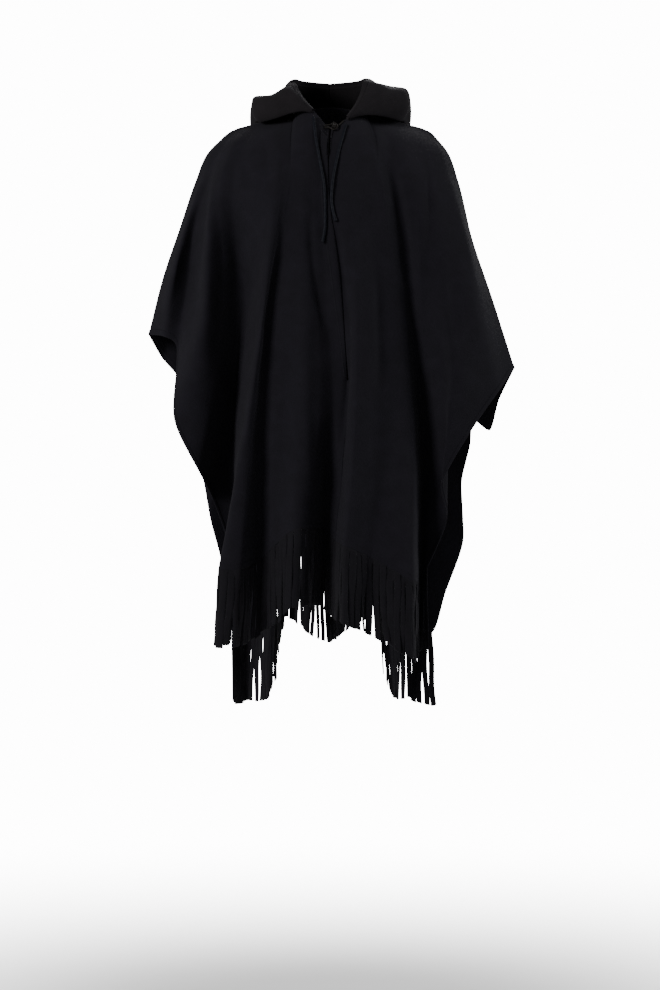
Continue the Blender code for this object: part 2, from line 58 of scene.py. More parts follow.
WALL = 0.002
SEAM_GAP = 0.0003
PLACKET_WALL = 0.0015
NECK_HALF_WIDTH = 0.064
NECK_FRONT = 0.072
NECK_BACK = 0.066
YOKE_Z = -0.11
CHEST_FALL = 0.304
ELBOW_FALL = 0.62
SLIT_END_Z = -0.47
KEYHOLE_WIDTH = 0.012
KEYHOLE_TOP_Z = -0.0225
KEYHOLE_END_Z = -0.105
SLIT_WIDTH = 0.0008
BOW_OUT = 0.6
BOW_DOWN = 0.4
FOLD_TENSION = 0.38
SEAM_BACK = 0.03
HEM_TURN = 0.0095
HEM_BAND = 0.016
HEM_ROWS = 12


class Face(Enum):
    """Which way a panel hangs."""

    FRONT = -1
    BACK = 1


class Half(Enum):
    """Which half of the hood, as the photograph shows it."""

    LEFT = -1
    RIGHT = 1


class Fold(NamedTuple):
    """One ridge, valley or edge line: where it leaves the top edge, and x and y at four heights."""

    name: str
    top_x: float
    yoke_x: float
    chest_x: float
    elbow_x: float
    end_x: float
    yoke_y: float
    chest_y: float
    elbow_y: float
    end_y: float
    end_z: float


class Crease(NamedTuple):
    """One soft crease in the front view: its two ends, its bow sideways, half width and height."""

    name: str
    start_x: float
    start_z: float
    end_x: float
    end_z: float
    bow: float
    width: float
    height: float


ARM_LEFT = Fold("arm left", -0.190, -0.241, -0.270, -0.300, -0.327, 0.000, 0.008, 0.014, 0.020, -0.385)
ARM_RIGHT = Fold("arm right", 0.185, 0.230, 0.255, 0.291, 0.332, 0.000, 0.002, 0.006, 0.010, -0.446)
FRONT_LEFT = (
    ARM_LEFT,
    Fold("sleeve", -0.176, -0.228, -0.257, -0.279, -0.297, -0.030, -0.045, -0.050, -0.035, -0.391),
    Fold("valley 0", -0.163, -0.216, -0.240, -0.252, -0.272, -0.045, -0.042, -0.035, -0.042, -0.414),
    Fold("ridge A", -0.150, -0.206, -0.216, -0.226, -0.274, -0.065, -0.105, -0.118, -0.108, -0.540),
    Fold("slope A", -0.136, -0.191, -0.190, -0.200, -0.232, -0.083, -0.090, -0.101, -0.110, -0.631),
    Fold("valley 1", -0.122, -0.170, -0.162, -0.170, -0.208, -0.089, -0.074, -0.065, -0.050, -0.684),
    Fold("corner", -0.108, -0.150, -0.143, -0.166, -0.172, -0.100, -0.078, -0.058, -0.030, -0.795),
    Fold("ridge B", -0.094, -0.100, -0.116, -0.147, -0.194, -0.120, -0.138, -0.148, -0.140, -0.805),
    Fold("face B", -0.080, -0.085, -0.110, -0.135, -0.158, -0.121, -0.140, -0.150, -0.150, -0.805),
    Fold("valley 2", -0.064, -0.070, -0.104, -0.120, -0.124, -0.120, -0.126, -0.124, -0.100, -0.790),
    Fold("ridge C", -0.045, -0.048, -0.048, -0.053, -0.066, -0.123, -0.140, -0.151, -0.165, -0.737),
    Fold("slope C", -0.028, -0.030, -0.026, -0.020, -0.038, -0.124, -0.136, -0.144, -0.150, -0.735),
    Fold("valley 3", -0.015, -0.016, -0.009, 0.005, -0.009, -0.124, -0.130, -0.130, -0.100, -0.735),
    Fold("slit", 0.001, -0.003, 0.018, 0.030, 0.010, -0.125, -0.135, -0.132, -0.122, -0.755),
)
FRONT_RIGHT = (
    FRONT_LEFT[-1],
    Fold("ridge D", 0.028, 0.026, 0.051, 0.048, 0.028, -0.125, -0.147, -0.165, -0.172, -0.765),
    Fold("valley 4", 0.047, 0.056, 0.088, 0.087, 0.073, -0.122, -0.123, -0.132, -0.143, -0.785),
    Fold("ridge E", 0.064, 0.088, 0.121, 0.142, 0.143, -0.117, -0.103, -0.111, -0.150, -0.825),
    Fold("valley 5", 0.080, 0.112, 0.141, 0.159, 0.158, -0.104, -0.080, -0.061, -0.058, -0.822),
    Fold("corner", 0.095, 0.127, 0.159, 0.180, 0.173, -0.104, -0.090, -0.072, -0.068, -0.803),
    Fold("edge I", 0.110, 0.143, 0.173, 0.200, 0.207, -0.102, -0.100, -0.095, -0.085, -0.719),
    Fold("edge H", 0.126, 0.160, 0.194, 0.213, 0.197, -0.094, -0.105, -0.112, -0.105, -0.655),
    Fold("ridge F", 0.143, 0.184, 0.216, 0.237, 0.240, -0.080, -0.099, -0.107, -0.100, -0.574),
    Fold("edge G", 0.162, 0.212, 0.243, 0.268, 0.296, -0.050, -0.074, -0.076, -0.056, -0.495),
    ARM_RIGHT,
)
BACK_FOLDS = (
    ARM_LEFT,
    Fold("sleeve left", -0.172, -0.225, -0.250, -0.279, -0.305, 0.035, 0.050, 0.055, 0.050, -0.425),
    Fold("valley left", -0.155, -0.212, -0.235, -0.254, -0.274, 0.055, 0.062, 0.062, 0.062, -0.465),
    Fold("ridge left", -0.140, -0.198, -0.222, -0.238, -0.255, 0.075, 0.112, 0.135, 0.140, -0.545),
    Fold("edge B left", -0.125, -0.180, -0.198, -0.218, -0.236, 0.088, 0.105, 0.118, 0.125, -0.638),
    Fold("edge C left", -0.112, -0.160, -0.175, -0.194, -0.221, 0.096, 0.108, 0.112, 0.115, -0.712),
    Fold("edge D left", -0.100, -0.140, -0.152, -0.172, -0.200, 0.101, 0.125, 0.140, 0.145, -0.800),
    Fold("corner left", -0.088, -0.118, -0.135, -0.160, -0.182, 0.106, 0.140, 0.165, 0.175, -0.922),
    Fold("ridge 1", -0.075, -0.100, -0.115, -0.134, -0.150, 0.109, 0.142, 0.175, 0.205, -0.925),
    Fold("valley 1", -0.064, -0.080, -0.088, -0.098, -0.110, 0.110, 0.122, 0.124, 0.130, -0.908),
    Fold("ridge 2", -0.048, -0.060, -0.066, -0.073, -0.082, 0.112, 0.138, 0.168, 0.195, -0.770),
    Fold("valley 2", -0.026, -0.034, -0.034, -0.034, -0.036, 0.114, 0.126, 0.130, 0.125, -0.795),
    Fold("ridge 3", 0.000, 0.000, 0.002, 0.000, -0.006, 0.115, 0.136, 0.165, 0.195, -0.815),
    Fold("valley 3", 0.026, 0.034, 0.036, 0.034, 0.026, 0.114, 0.124, 0.122, 0.118, -0.795),
    Fold("ridge 4", 0.048, 0.062, 0.070, 0.078, 0.083, 0.112, 0.140, 0.172, 0.200, -0.775),
    Fold("valley 4", 0.064, 0.082, 0.092, 0.100, 0.108, 0.110, 0.122, 0.126, 0.132, -0.905),
    Fold("ridge 5", 0.075, 0.102, 0.118, 0.134, 0.146, 0.109, 0.144, 0.178, 0.208, -0.922),
    Fold("corner right", 0.088, 0.120, 0.142, 0.168, 0.191, 0.106, 0.138, 0.165, 0.175, -0.930),
    Fold("edge D right", 0.100, 0.142, 0.160, 0.187, 0.214, 0.101, 0.125, 0.145, 0.155, -0.855),
    Fold("edge C right", 0.112, 0.160, 0.184, 0.214, 0.246, 0.096, 0.110, 0.125, 0.140, -0.760),
    Fold("edge B right", 0.125, 0.180, 0.206, 0.226, 0.242, 0.088, 0.104, 0.118, 0.128, -0.655),
    Fold("ridge right", 0.138, 0.196, 0.224, 0.243, 0.256, 0.076, 0.095, 0.105, 0.108, -0.585),
    Fold("notch right", 0.148, 0.206, 0.234, 0.253, 0.262, 0.062, 0.080, 0.090, 0.095, -0.537),
    Fold("valley right", 0.160, 0.216, 0.243, 0.270, 0.292, 0.048, 0.060, 0.070, 0.078, -0.556),
    Fold("sleeve right", 0.172, 0.225, 0.252, 0.282, 0.306, 0.030, 0.040, 0.045, 0.045, -0.502),
    ARM_RIGHT,
)
SHOULDER_X = (-0.200, -0.179, -0.165, -0.134, -0.100, -0.064, 0.064, 0.100, 0.134, 0.165, 0.179, 0.200)
SHOULDER_Z = (-0.037, -0.021, -0.015, -0.007, 0.001, 0.012, 0.012, 0.001, -0.007, -0.015, -0.021, -0.037)
THROAT_X = (-0.064, -0.045, -0.030, -0.024, -0.018, -0.011, -0.005, 0.009, 0.018, 0.025, 0.036, 0.050, 0.064)
THROAT_Z = (0.012, 0.013, 0.009, 0.001, -0.006, -0.015, -0.021, -0.0225, -0.017, -0.010, -0.003, 0.006, 0.012)
NAPE_Z = 0.030

FRONT_CREASES = (
    Crease("point of valley 2", -0.079, -0.186, -0.102, -0.400, 0.004, 0.014, -0.0022),
    Crease("crest of ridge B", -0.096, -0.196, -0.145, -0.403, 0.004, 0.009, 0.0030),
    Crease("floor of valley 1", -0.168, -0.115, -0.160, -0.390, 0.003, 0.017, -0.0055),
    Crease("behind ridge A", -0.209, -0.090, -0.240, -0.335, -0.003, 0.008, -0.0040),
    Crease("beside the band", -0.037, -0.180, -0.007, -0.390, -0.004, 0.009, -0.0050),
    Crease("shoulder of valley 5", 0.096, -0.060, 0.138, -0.300, 0.006, 0.013, -0.0075),
    Crease("right of the slit", 0.010, -0.195, 0.038, -0.425, 0.000, 0.0065, -0.0060),
    Crease("sleeve pleat", 0.174, -0.066, 0.177, -0.235, 0.000, 0.007, -0.0040),
    Crease("between the pleats", 0.156, -0.100, 0.160, -0.390, 0.002, 0.008, 0.0030),
    Crease("right chest", 0.072, -0.048, 0.074, -0.135, 0.000, 0.008, -0.0018),
    Crease("floor of valley 4", 0.081, -0.215, 0.089, -0.515, 0.003, 0.011, -0.0050),
    Crease("crest of ridge D", 0.049, -0.200, 0.034, -0.600, 0.004, 0.009, 0.0030),
    Crease("foot of ridge D", 0.035, -0.400, 0.020, -0.585, 0.002, 0.006, -0.0040),
    Crease("small ridge by the fringe", 0.100, -0.630, 0.110, -0.740, 0.000, 0.005, 0.0030),
    Crease("sleeve trough", 0.214, -0.240, 0.221, -0.410, 0.002, 0.012, -0.0040),
    Crease("sleeve crest", 0.238, -0.260, 0.263, -0.418, 0.000, 0.012, 0.0030),
    Crease("sleeve hollow", 0.193, -0.380, 0.203, -0.515, 0.002, 0.009, -0.0030),
    Crease("left chest trough", -0.114, -0.050, -0.109, -0.128, 0.000, 0.006, -0.0015),
    Crease("left chest crest", -0.093, -0.080, -0.090, -0.160, 0.000, 0.006, 0.0015),
    Crease("left shoulder pull", -0.158, -0.060, -0.140, -0.145, 0.002, 0.010, -0.0025),
    Crease("floor of valley 3", 0.000, -0.540, -0.007, -0.690, 0.000, 0.010, -0.0050),
    Crease("crest of ridge C", -0.042, -0.330, -0.039, -0.690, -0.003, 0.010, 0.0030),
    Crease("beside ridge C", -0.074, -0.415, -0.084, -0.650, 0.002, 0.009, -0.0022),
    Crease("low left crest", -0.093, -0.500, -0.105, -0.690, 0.002, 0.008, 0.0020),
    Crease("sleeve drag left", -0.262, -0.230, -0.286, -0.350, 0.004, 0.010, -0.0030),
)
BACK_CREASES = (
    Crease("nape pull left", -0.050, -0.060, -0.062, -0.220, 0.004, 0.010, -0.0030),
    Crease("nape pull right", 0.040, -0.050, 0.058, -0.200, -0.004, 0.009, -0.0026),
    Crease("blade left", -0.120, -0.070, -0.128, -0.300, 0.003, 0.010, -0.0045),
    Crease("blade right", 0.128, -0.080, 0.136, -0.340, -0.003, 0.011, -0.0050),
    Crease("crest 2", -0.066, -0.260, -0.075, -0.640, 0.004, 0.009, 0.0030),
    Crease("crest 3", 0.004, -0.230, -0.004, -0.600, -0.003, 0.009, 0.0028),
    Crease("crest 4", 0.070, -0.280, 0.080, -0.680, 0.003, 0.008, 0.0032),
    Crease("floor 1", -0.090, -0.340, -0.104, -0.780, 0.003, 0.010, -0.0040),
    Crease("floor 2", -0.034, -0.300, -0.035, -0.560, 0.002, 0.009, -0.0030),
    Crease("floor 3", 0.036, -0.380, 0.030, -0.720, 0.002, 0.009, -0.0036),
    Crease("floor 4", 0.094, -0.300, 0.104, -0.740, -0.003, 0.010, -0.0042),
    Crease("slope left", -0.176, -0.200, -0.196, -0.470, 0.004, 0.011, -0.0036),
    Crease("slope right", 0.182, -0.180, 0.214, -0.500, -0.004, 0.012, -0.0036),
    Crease("sleeve left", -0.232, -0.150, -0.262, -0.360, 0.003, 0.009, -0.0030),
    Crease("sleeve right", 0.234, -0.160, 0.268, -0.400, -0.003, 0.010, -0.0030),
    Crease("low crest left", -0.140, -0.560, -0.156, -0.840, 0.003, 0.009, 0.0028),
    Crease("low crest right", 0.138, -0.520, 0.150, -0.860, -0.002, 0.009, 0.0028),
)


def unit(vectors: np.ndarray) -> np.ndarray:
    """Vectors of length one."""
    return vectors / np.maximum(np.linalg.norm(vectors, axis=-1, keepdims=True), 1e-12)


def smooth_step(low: float, high: float, values: np.ndarray) -> np.ndarray:
    """0 below low, 1 above high, and u squared times (3 - 2u) between."""
    u = np.clip((values - low) / (high - low), 0.0, 1.0)
    return u * u * (3 - 2 * u)


def uneven(index: np.ndarray, seed: float) -> np.ndarray:
    """A steady, irregular number between -1 and 1: two sines of the index at unrelated pitches."""
    return np.sin(index * 2.399 + seed) * 0.6 + np.sin(index * 5.131 + 2 * seed) * 0.4


def hermite(start: np.ndarray, end: np.ndarray, leave: np.ndarray, arrive: np.ndarray,
            u: np.ndarray) -> np.ndarray:
    """The cubic from start to end with the slopes leave and arrive, at the share u of the way."""
    blend = u * u * (3 - 2 * u)
    return start + (end - start) * blend + leave * u * (1 - u) ** 2 - arrive * u * u * (1 - u)


def smooth_through(knots: np.ndarray, distances: np.ndarray, places: np.ndarray) -> np.ndarray:
    """Points on cubic curves through knots, one curve for each column.

    Each knot's slope is the mean of the chords beside it, the shorter one counting for more.

    Args:
        knots: the knots, first index along the curve, last index x, y and z.
        distances: how far along the curve each knot is.
        places: how far along the curve each wanted point is.

    Returns:
        The points, first index along the curve.
    """
    gaps = np.diff(distances, axis=0)[..., None]
    rises = np.diff(knots, axis=0) / gaps
    inner = (gaps[:-1] * rises[1:] + gaps[1:] * rises[:-1]) / (gaps[:-1] + gaps[1:])
    slopes = np.concatenate([rises[:1], inner, rises[-1:]])
    spans = np.sum(places[:, None] >= distances[None, 1:-1], axis=1)
    width = np.take_along_axis(np.diff(distances, axis=0), spans, axis=0)
    u = ((places - np.take_along_axis(distances, spans, axis=0)) / width)[..., None]
    pick = spans[..., None]
    start, end = np.take_along_axis(knots, pick, 0), np.take_along_axis(knots, pick + 1, 0)
    leave = np.take_along_axis(slopes, pick, 0) * width[..., None]
    arrive = np.take_along_axis(slopes, pick + 1, 0) * width[..., None]
    return hermite(start, end, leave, arrive, u)


def chord_lengths(knots: np.ndarray) -> np.ndarray:
    """How far along the chords each knot is, from 0 at the first."""
    steps = np.linalg.norm(np.diff(knots, axis=0), axis=-1)
    return np.concatenate([np.zeros_like(steps[:1]), np.cumsum(steps, axis=0)])


def surface_normals(points: np.ndarray, turn: float) -> np.ndarray:
    """Across crossed with down at each point of a grid, times turn, at length one."""
    return unit(np.cross(np.gradient(points, axis=1), np.gradient(points, axis=0))) * turn


class Wire:
    """A socket in an expression: + - * / and their reflected forms each add a Math node."""

    def __init__(self, graph: "Graph", socket: bpy.types.NodeSocket) -> None:
        """Keeps the graph and the socket."""
        self.graph = graph
        self.socket = socket

    def maths(self, operation: str, first: object, second: object = None) -> "Wire":
        """A Math node on one or two values."""
        values = [first] if second is None else [first, second]
        return self.graph.wire("ShaderNodeMath", {"operation": operation}, dict(enumerate(values)))

    def __add__(self, other: object) -> "Wire":
        """self + other."""
        return self.maths("ADD", self, other)

    def __sub__(self, other: object) -> "Wire":
        """self - other."""
        return self.maths("SUBTRACT", self, other)

    def __mul__(self, other: object) -> "Wire":
        """self * other."""
        return self.maths("MULTIPLY", self, other)

    def __rsub__(self, other: object) -> "Wire":
        """other - self."""
        return self.maths("SUBTRACT", other, self)

    __radd__ = __add__
    __rmul__ = __mul__

    def ramp(self, low: float, high: float) -> "Wire":
        """0 at low and below, 1 at high and above, smooth between."""
        settings = {"interpolation_type": "SMOOTHSTEP"}
        return self.graph.wire("ShaderNodeMapRange", settings, {"Value": self, 1: low, 2: high})


class Graph:
    """One material's nodes, with the Principled shader that the finish feeds."""

    def __init__(self, name: str) -> None:
        """An empty material with its output and shader."""
        self.material = bpy.data.materials.new(name)
        self.material.use_nodes = True
        self.tree = self.material.node_tree
        self.shader = self.tree.nodes["Principled BSDF"]

    def node(self, kind: str, settings: dict, inputs: dict) -> bpy.types.Node:
        """Any node.

        Args:
            kind: the node's type.
            settings: attributes that are set first.
            inputs: values or wires for its sockets, by name or number.

        Returns:
            The node.
        """
        made = self.tree.nodes.new(kind)
        for name, value in settings.items():
            setattr(made, name, value)
        self.feed(made, inputs)
        return made

    def feed(self, node: bpy.types.Node, inputs: dict) -> None:
        """Sets or links a node's sockets."""
        for key, value in inputs.items():
            if isinstance(value, Wire):
                self.tree.links.new(value.socket, node.inputs[key])
            else:
                node.inputs[key].default_value = value

    def wire(self, kind: str, settings: dict, inputs: dict, output: object = 0) -> Wire:
        """The same as node, and gives one of its outputs."""
        return Wire(self, self.node(kind, settings, inputs).outputs[output])

    def place(self, stretch: tuple[float, float, float] = (1.0, 1.0, 1.0)) -> Wire:
        """Object coordinates, stretched by a Mapping node."""
        source = self.wire("ShaderNodeTexCoord", {}, {}, "Object")
        return self.wire("ShaderNodeMapping", {}, {"Vector": source, "Scale": stretch})

    def noise(self, where: Wire, scale: float, detail: float, rough: float = 0.55,
              warp: float = 0.0) -> Wire:
        """Soft noise at a scale given in cells a metre."""
        inputs = {"Vector": where, "Scale": scale, "Detail": detail, "Roughness": rough, "Distortion": warp}
        return self.wire("ShaderNodeTexNoise", {}, inputs, 0)

    def blend(self, share: Wire, low: tuple, high: tuple) -> Wire:
        """A colour between two, by share."""
        made = self.node("ShaderNodeMix", {"data_type": "RGBA"}, {0: share, 6: low, 7: high})
        return Wire(self, made.outputs[2])

    def bump(self, height: Wire, strength: float, distance: float) -> Wire:
        """A normal bent by a height."""
        inputs = {"Height": height, "Strength": strength, "Distance": distance}
        return self.wire("ShaderNodeBump", {}, inputs, "Normal")


@dataclass(frozen=True)
class WoolFelt:
    """Milled wool: matt, mottled, with a short nap, fine crossing fibres and a little pale lint."""

    name: str
    deep: tuple[float, float, float, float]
    worn: tuple[float, float, float, float]
    nap: float = 1.0
    sheen: float = 0.02

    def material(self) -> bpy.types.Material:
        """The nodes: mottling and nap drive the colour, nap and two layers of fibre the bump."""
        graph = Graph(self.name)
        where = graph.place()
        mottle = graph.noise(where, 38, 3, 0.6, 0.4)
        nap = graph.noise(where, 330, 4, 0.7)
        along = graph.noise(graph.place((1.0, 1.0, 0.16)), 1500, 2, 0.6, 0.8)
        across = graph.noise(graph.place((0.18, 0.5, 1.0)), 1300, 2, 0.6, 0.8)
        pills = graph.noise(where, 120, 2, 0.5).ramp(0.60, 0.74)
        lint = graph.noise(where, 900, 1, 0.4).ramp(0.74, 0.80)
        tone = mottle * 0.55 + nap * 0.35 + (along + across) * 0.22 - 0.28
        shade = (tone + lint * 0.30).ramp(0.12, 0.92)
        height = nap * 0.55 + along * 0.35 + across * 0.35 + pills * 0.35 + mottle * 0.5
        graph.feed(graph.shader, {
            "Base Color": graph.blend(shade, self.deep, self.worn),
            "Roughness": 0.86 + nap * 0.12,
            "Specular IOR Level": 0.16,
            "Sheen Weight": self.sheen,
            "Sheen Roughness": 0.55,
            "Sheen Tint": (0.80, 0.78, 0.92, 1.0),
            "Normal": graph.bump(height, 0.55 * self.nap, 0.0011),
        })
        return graph.material


@dataclass(frozen=True)
class SpunCord:
    """Smooth spun cord, with fine yarns running along it."""

    name: str
    deep: tuple[float, float, float, float]
    worn: tuple[float, float, float, float]
    gloss: float = 0.25

    def material(self) -> bpy.types.Material:
        """The nodes: fine fibres on the surface, a little gloss where the yarn lies flat."""
        graph = Graph(self.name)
        where = graph.place()
        fibre = graph.noise(graph.place((1.0, 1.0, 0.25)), 2600, 3, 0.6, 0.5)
        soft = graph.noise(where, 260, 3, 0.6)
        shade = (soft * 0.6 + fibre * 0.6).ramp(0.35, 0.85)
        graph.feed(graph.shader, {
            "Base Color": graph.blend(shade, self.deep, self.worn),
            "Roughness": 0.78 - fibre * 0.25,
            "Specular IOR Level": self.gloss,
            "Normal": graph.bump(fibre * 0.6 + soft * 0.6, 0.5, 0.0005),
        })
        return graph.material


@dataclass(frozen=True)
class StudioPaint:
    """The plain pale floor, which fades into the sky away from its middle."""

    name: str
    colour: tuple[float, float, float, float]
    solid_to: float = 0.25
    gone_at: float = 2.6

    def material(self) -> bpy.types.Material:
        """A matt paint with a faint unevenness; its alpha falls from 1 to 0 with the distance out."""
        graph = Graph(self.name)
        where = graph.place((1.0, 1.0, 0.0))
        cloud = graph.noise(where, 1.5, 2)
        pale = tuple(0.985 * part for part in self.colour[:3]) + (1.0,)
        far = graph.wire("ShaderNodeVectorMath", {"operation": "LENGTH"}, {0: where}, "Value")
        graph.feed(graph.shader, {
            "Base Color": graph.blend(cloud, pale, self.colour),
            "Roughness": 0.9,
            "Alpha": 1.0 - far.ramp(self.solid_to, self.gone_at),
        })
        return graph.material


FELT = WoolFelt("black felted wool", (0.0036, 0.0031, 0.0053, 1.0), (0.0084, 0.0073, 0.0121, 1.0))
# Painted light: the hood is the same black felt as the body. This copy is painted lighter and warmer to stand
# in for the light that the lowered hood's flaps catch.
HOOD_FELT_PAINTED_LIGHTER = WoolFelt("hood wool painted lighter", (0.0054, 0.0044, 0.0054, 1.0), (0.0128, 0.0106, 0.0130, 1.0))
FRINGE_FELT = WoolFelt("cut wool", (0.0030, 0.0026, 0.0040, 1.0), (0.0074, 0.0065, 0.0098, 1.0), 1.1)
TIE_CORD = SpunCord("tie cord", (0.0020, 0.0024, 0.0046, 1.0), (0.0056, 0.0064, 0.0112, 1.0), 0.12)
FROG_CORD_FINISH = SpunCord("frog cord", (0.0022, 0.0016, 0.0014, 1.0), (0.0105, 0.0076, 0.0062, 1.0), 0.25)
THREAD = SpunCord("stitch thread", (0.0022, 0.0020, 0.0034, 1.0), (0.0066, 0.0060, 0.0092, 1.0), 0.1)


class Workshop:
    """Puts finished arrays into Blender and makes each finish once."""

    def __init__(self) -> None:
        """Starts with no finish made."""
        self.made: dict[object, bpy.types.Material] = {}

    def dress(self, thing: bpy.types.Object, finish: object) -> None:
        """Gives an object its finish."""
        if finish not in self.made:
            self.made[finish] = finish.material()
        thing.data.materials.append(self.made[finish])

    def piece(self, name: str, points: np.ndarray, quads: np.ndarray, finish: object,
              replaces: Sequence[str] = ()) -> bpy.types.Object:
        """One piece of the cape from points and four-cornered faces.

        Args:
            name: the piece's name.
            points: its corners.
            quads: four corner numbers for each face; a repeated last corner makes a triangle.
            finish: what it is made of.
            replaces: the solids that it stands for.

        Returns:
            The object.
        """
        used, renamed = np.unique(quads, return_inverse=True)
        quads = renamed.reshape(quads.shape)
        corners = np.where(quads[:, 3] == quads[:, 2], 3, 4)
        loops = quads[np.arange(4)[None] < corners[:, None]]
        mesh = bpy.data.meshes.new(name)
        mesh.vertices.add(len(used))
        mesh.vertices.foreach_set("co", points[used].astype(np.float32).ravel())
        mesh.loops.add(len(loops))
        mesh.loops.foreach_set("vertex_index", loops.astype(np.int32))
        mesh.polygons.add(len(quads))
        mesh.polygons.foreach_set("loop_start", (np.cumsum(corners) - corners).astype(np.int32))
        mesh.update(calc_edges=True)
        mesh.validate()
        mesh.shade_smooth()
        thing = bpy.data.objects.new(name, mesh)
        bpy.context.scene.collection.objects.link(thing)
        self.dress(thing, finish)
        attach(thing, "root")
        if replaces:
            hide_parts(*replaces)
        return thing


SHOP = Workshop()


def wall_faces(points: np.ndarray, normals: np.ndarray, thickness: float,
               kept: Optional[np.ndarray] = None) -> tuple[np.ndarray, np.ndarray]:
    """A closed wall of cloth round a grid of middle points, with rounded edges.

    The outer side is the middle plus half the thickness along the normal, the inner side the same
    the other way, and each edge bulges out along the cloth by 0.8 of half the thickness.

    Args:
        points: the middle points, rows by columns.
        normals: the outer direction at each.
        thickness: the cloth's, in metres.
        kept: which cells of the grid are cloth; all when left out.

    Returns:
        The corners and the faces.
    """
    rows, columns = points.shape[:2]
    total = rows * columns
    middle, out = points.reshape(-1, 3), normals.reshape(-1, 3) * thickness / 2
    number = np.arange(total).reshape(rows, columns)
    rings = np.stack([number[:-1, :-1], number[:-1, 1:], number[1:, 1:], number[1:, :-1]], axis=-1)
    rings = rings.reshape(-1, 4) if kept is None else rings[kept]
    across = points[:-1, 1:] - points[:-1, :-1]
    down = points[1:, :-1] - points[:-1, :-1]
    if np.sum(np.cross(across, down) * normals[:-1, :-1]) < 0:
        rings = rings[:, ::-1]
    starts = rings.ravel()
    ends = np.roll(rings, -1, axis=1).ravel()
    rim = ~np.isin(starts * total + ends, ends * total + starts)
    starts, ends = starts[rim], ends[rim]
    away = np.cross(middle[ends] - middle[starts], out[starts])
    push = np.zeros_like(middle)
    np.add.at(push, starts, unit(away))
    np.add.at(push, ends, unit(away))
    lip = middle + unit(push) * thickness * 0.4
    corners = np.concatenate([middle + out, middle - out, lip])
    faces = np.concatenate([
        rings,
        rings[:, ::-1] + total,
        np.stack([ends, starts, starts + 2 * total, ends + 2 * total], axis=1),
        np.stack([ends + 2 * total, starts + 2 * total, starts + total, ends + total], axis=1),
    ])
    return corners, faces


def crease_heights(points: np.ndarray, creases: Sequence[Crease]) -> np.ndarray:
    """How far the creases lift or sink each point of a panel.

    Each crease is a line in the front view with a bow of 4t(1 - t) across it. Its height falls off
    as the bell exp(-(d / width) squared) of the distance d, and rises and dies as sin(pi t) to 0.7.

    Args:
        points: the panel's points, rows by columns.
        creases: the creases.

    Returns:
        Heights along the normal.
    """
    height = np.zeros(points.shape[:2])
    flat = points[..., [0, 2]]
    for crease in creases:
        start = np.array([crease.start_x, crease.start_z])
        run = np.array([crease.end_x, crease.end_z]) - start
        share = np.clip(np.sum((flat - start) * run, axis=-1) / (run @ run), 0.0, 1.0)
        side = np.array([-run[1], run[0]]) / math.hypot(*run)
        nearest = start + share[..., None] * run + (crease.bow * 4 * share * (1 - share))[..., None] * side
        far = np.linalg.norm(flat - nearest, axis=-1)
        height += crease.height * np.exp(-(far / crease.width) ** 2) * np.sin(math.pi * share) ** 0.7
    return height


def soft_unevenness(points: np.ndarray, amount: float) -> np.ndarray:
    """The cloth's own softness: three slow sine waves of x and z at unrelated lengths and slants."""
    x, z = points[..., 0], points[..., 2]
    wave = np.sin(61 * x + 23 * z + 0.4) + 0.7 * np.sin(-37 * x + 71 * z + 1.9)
    return amount * (wave + 0.5 * np.sin(113 * x + 47 * z + 2.7))


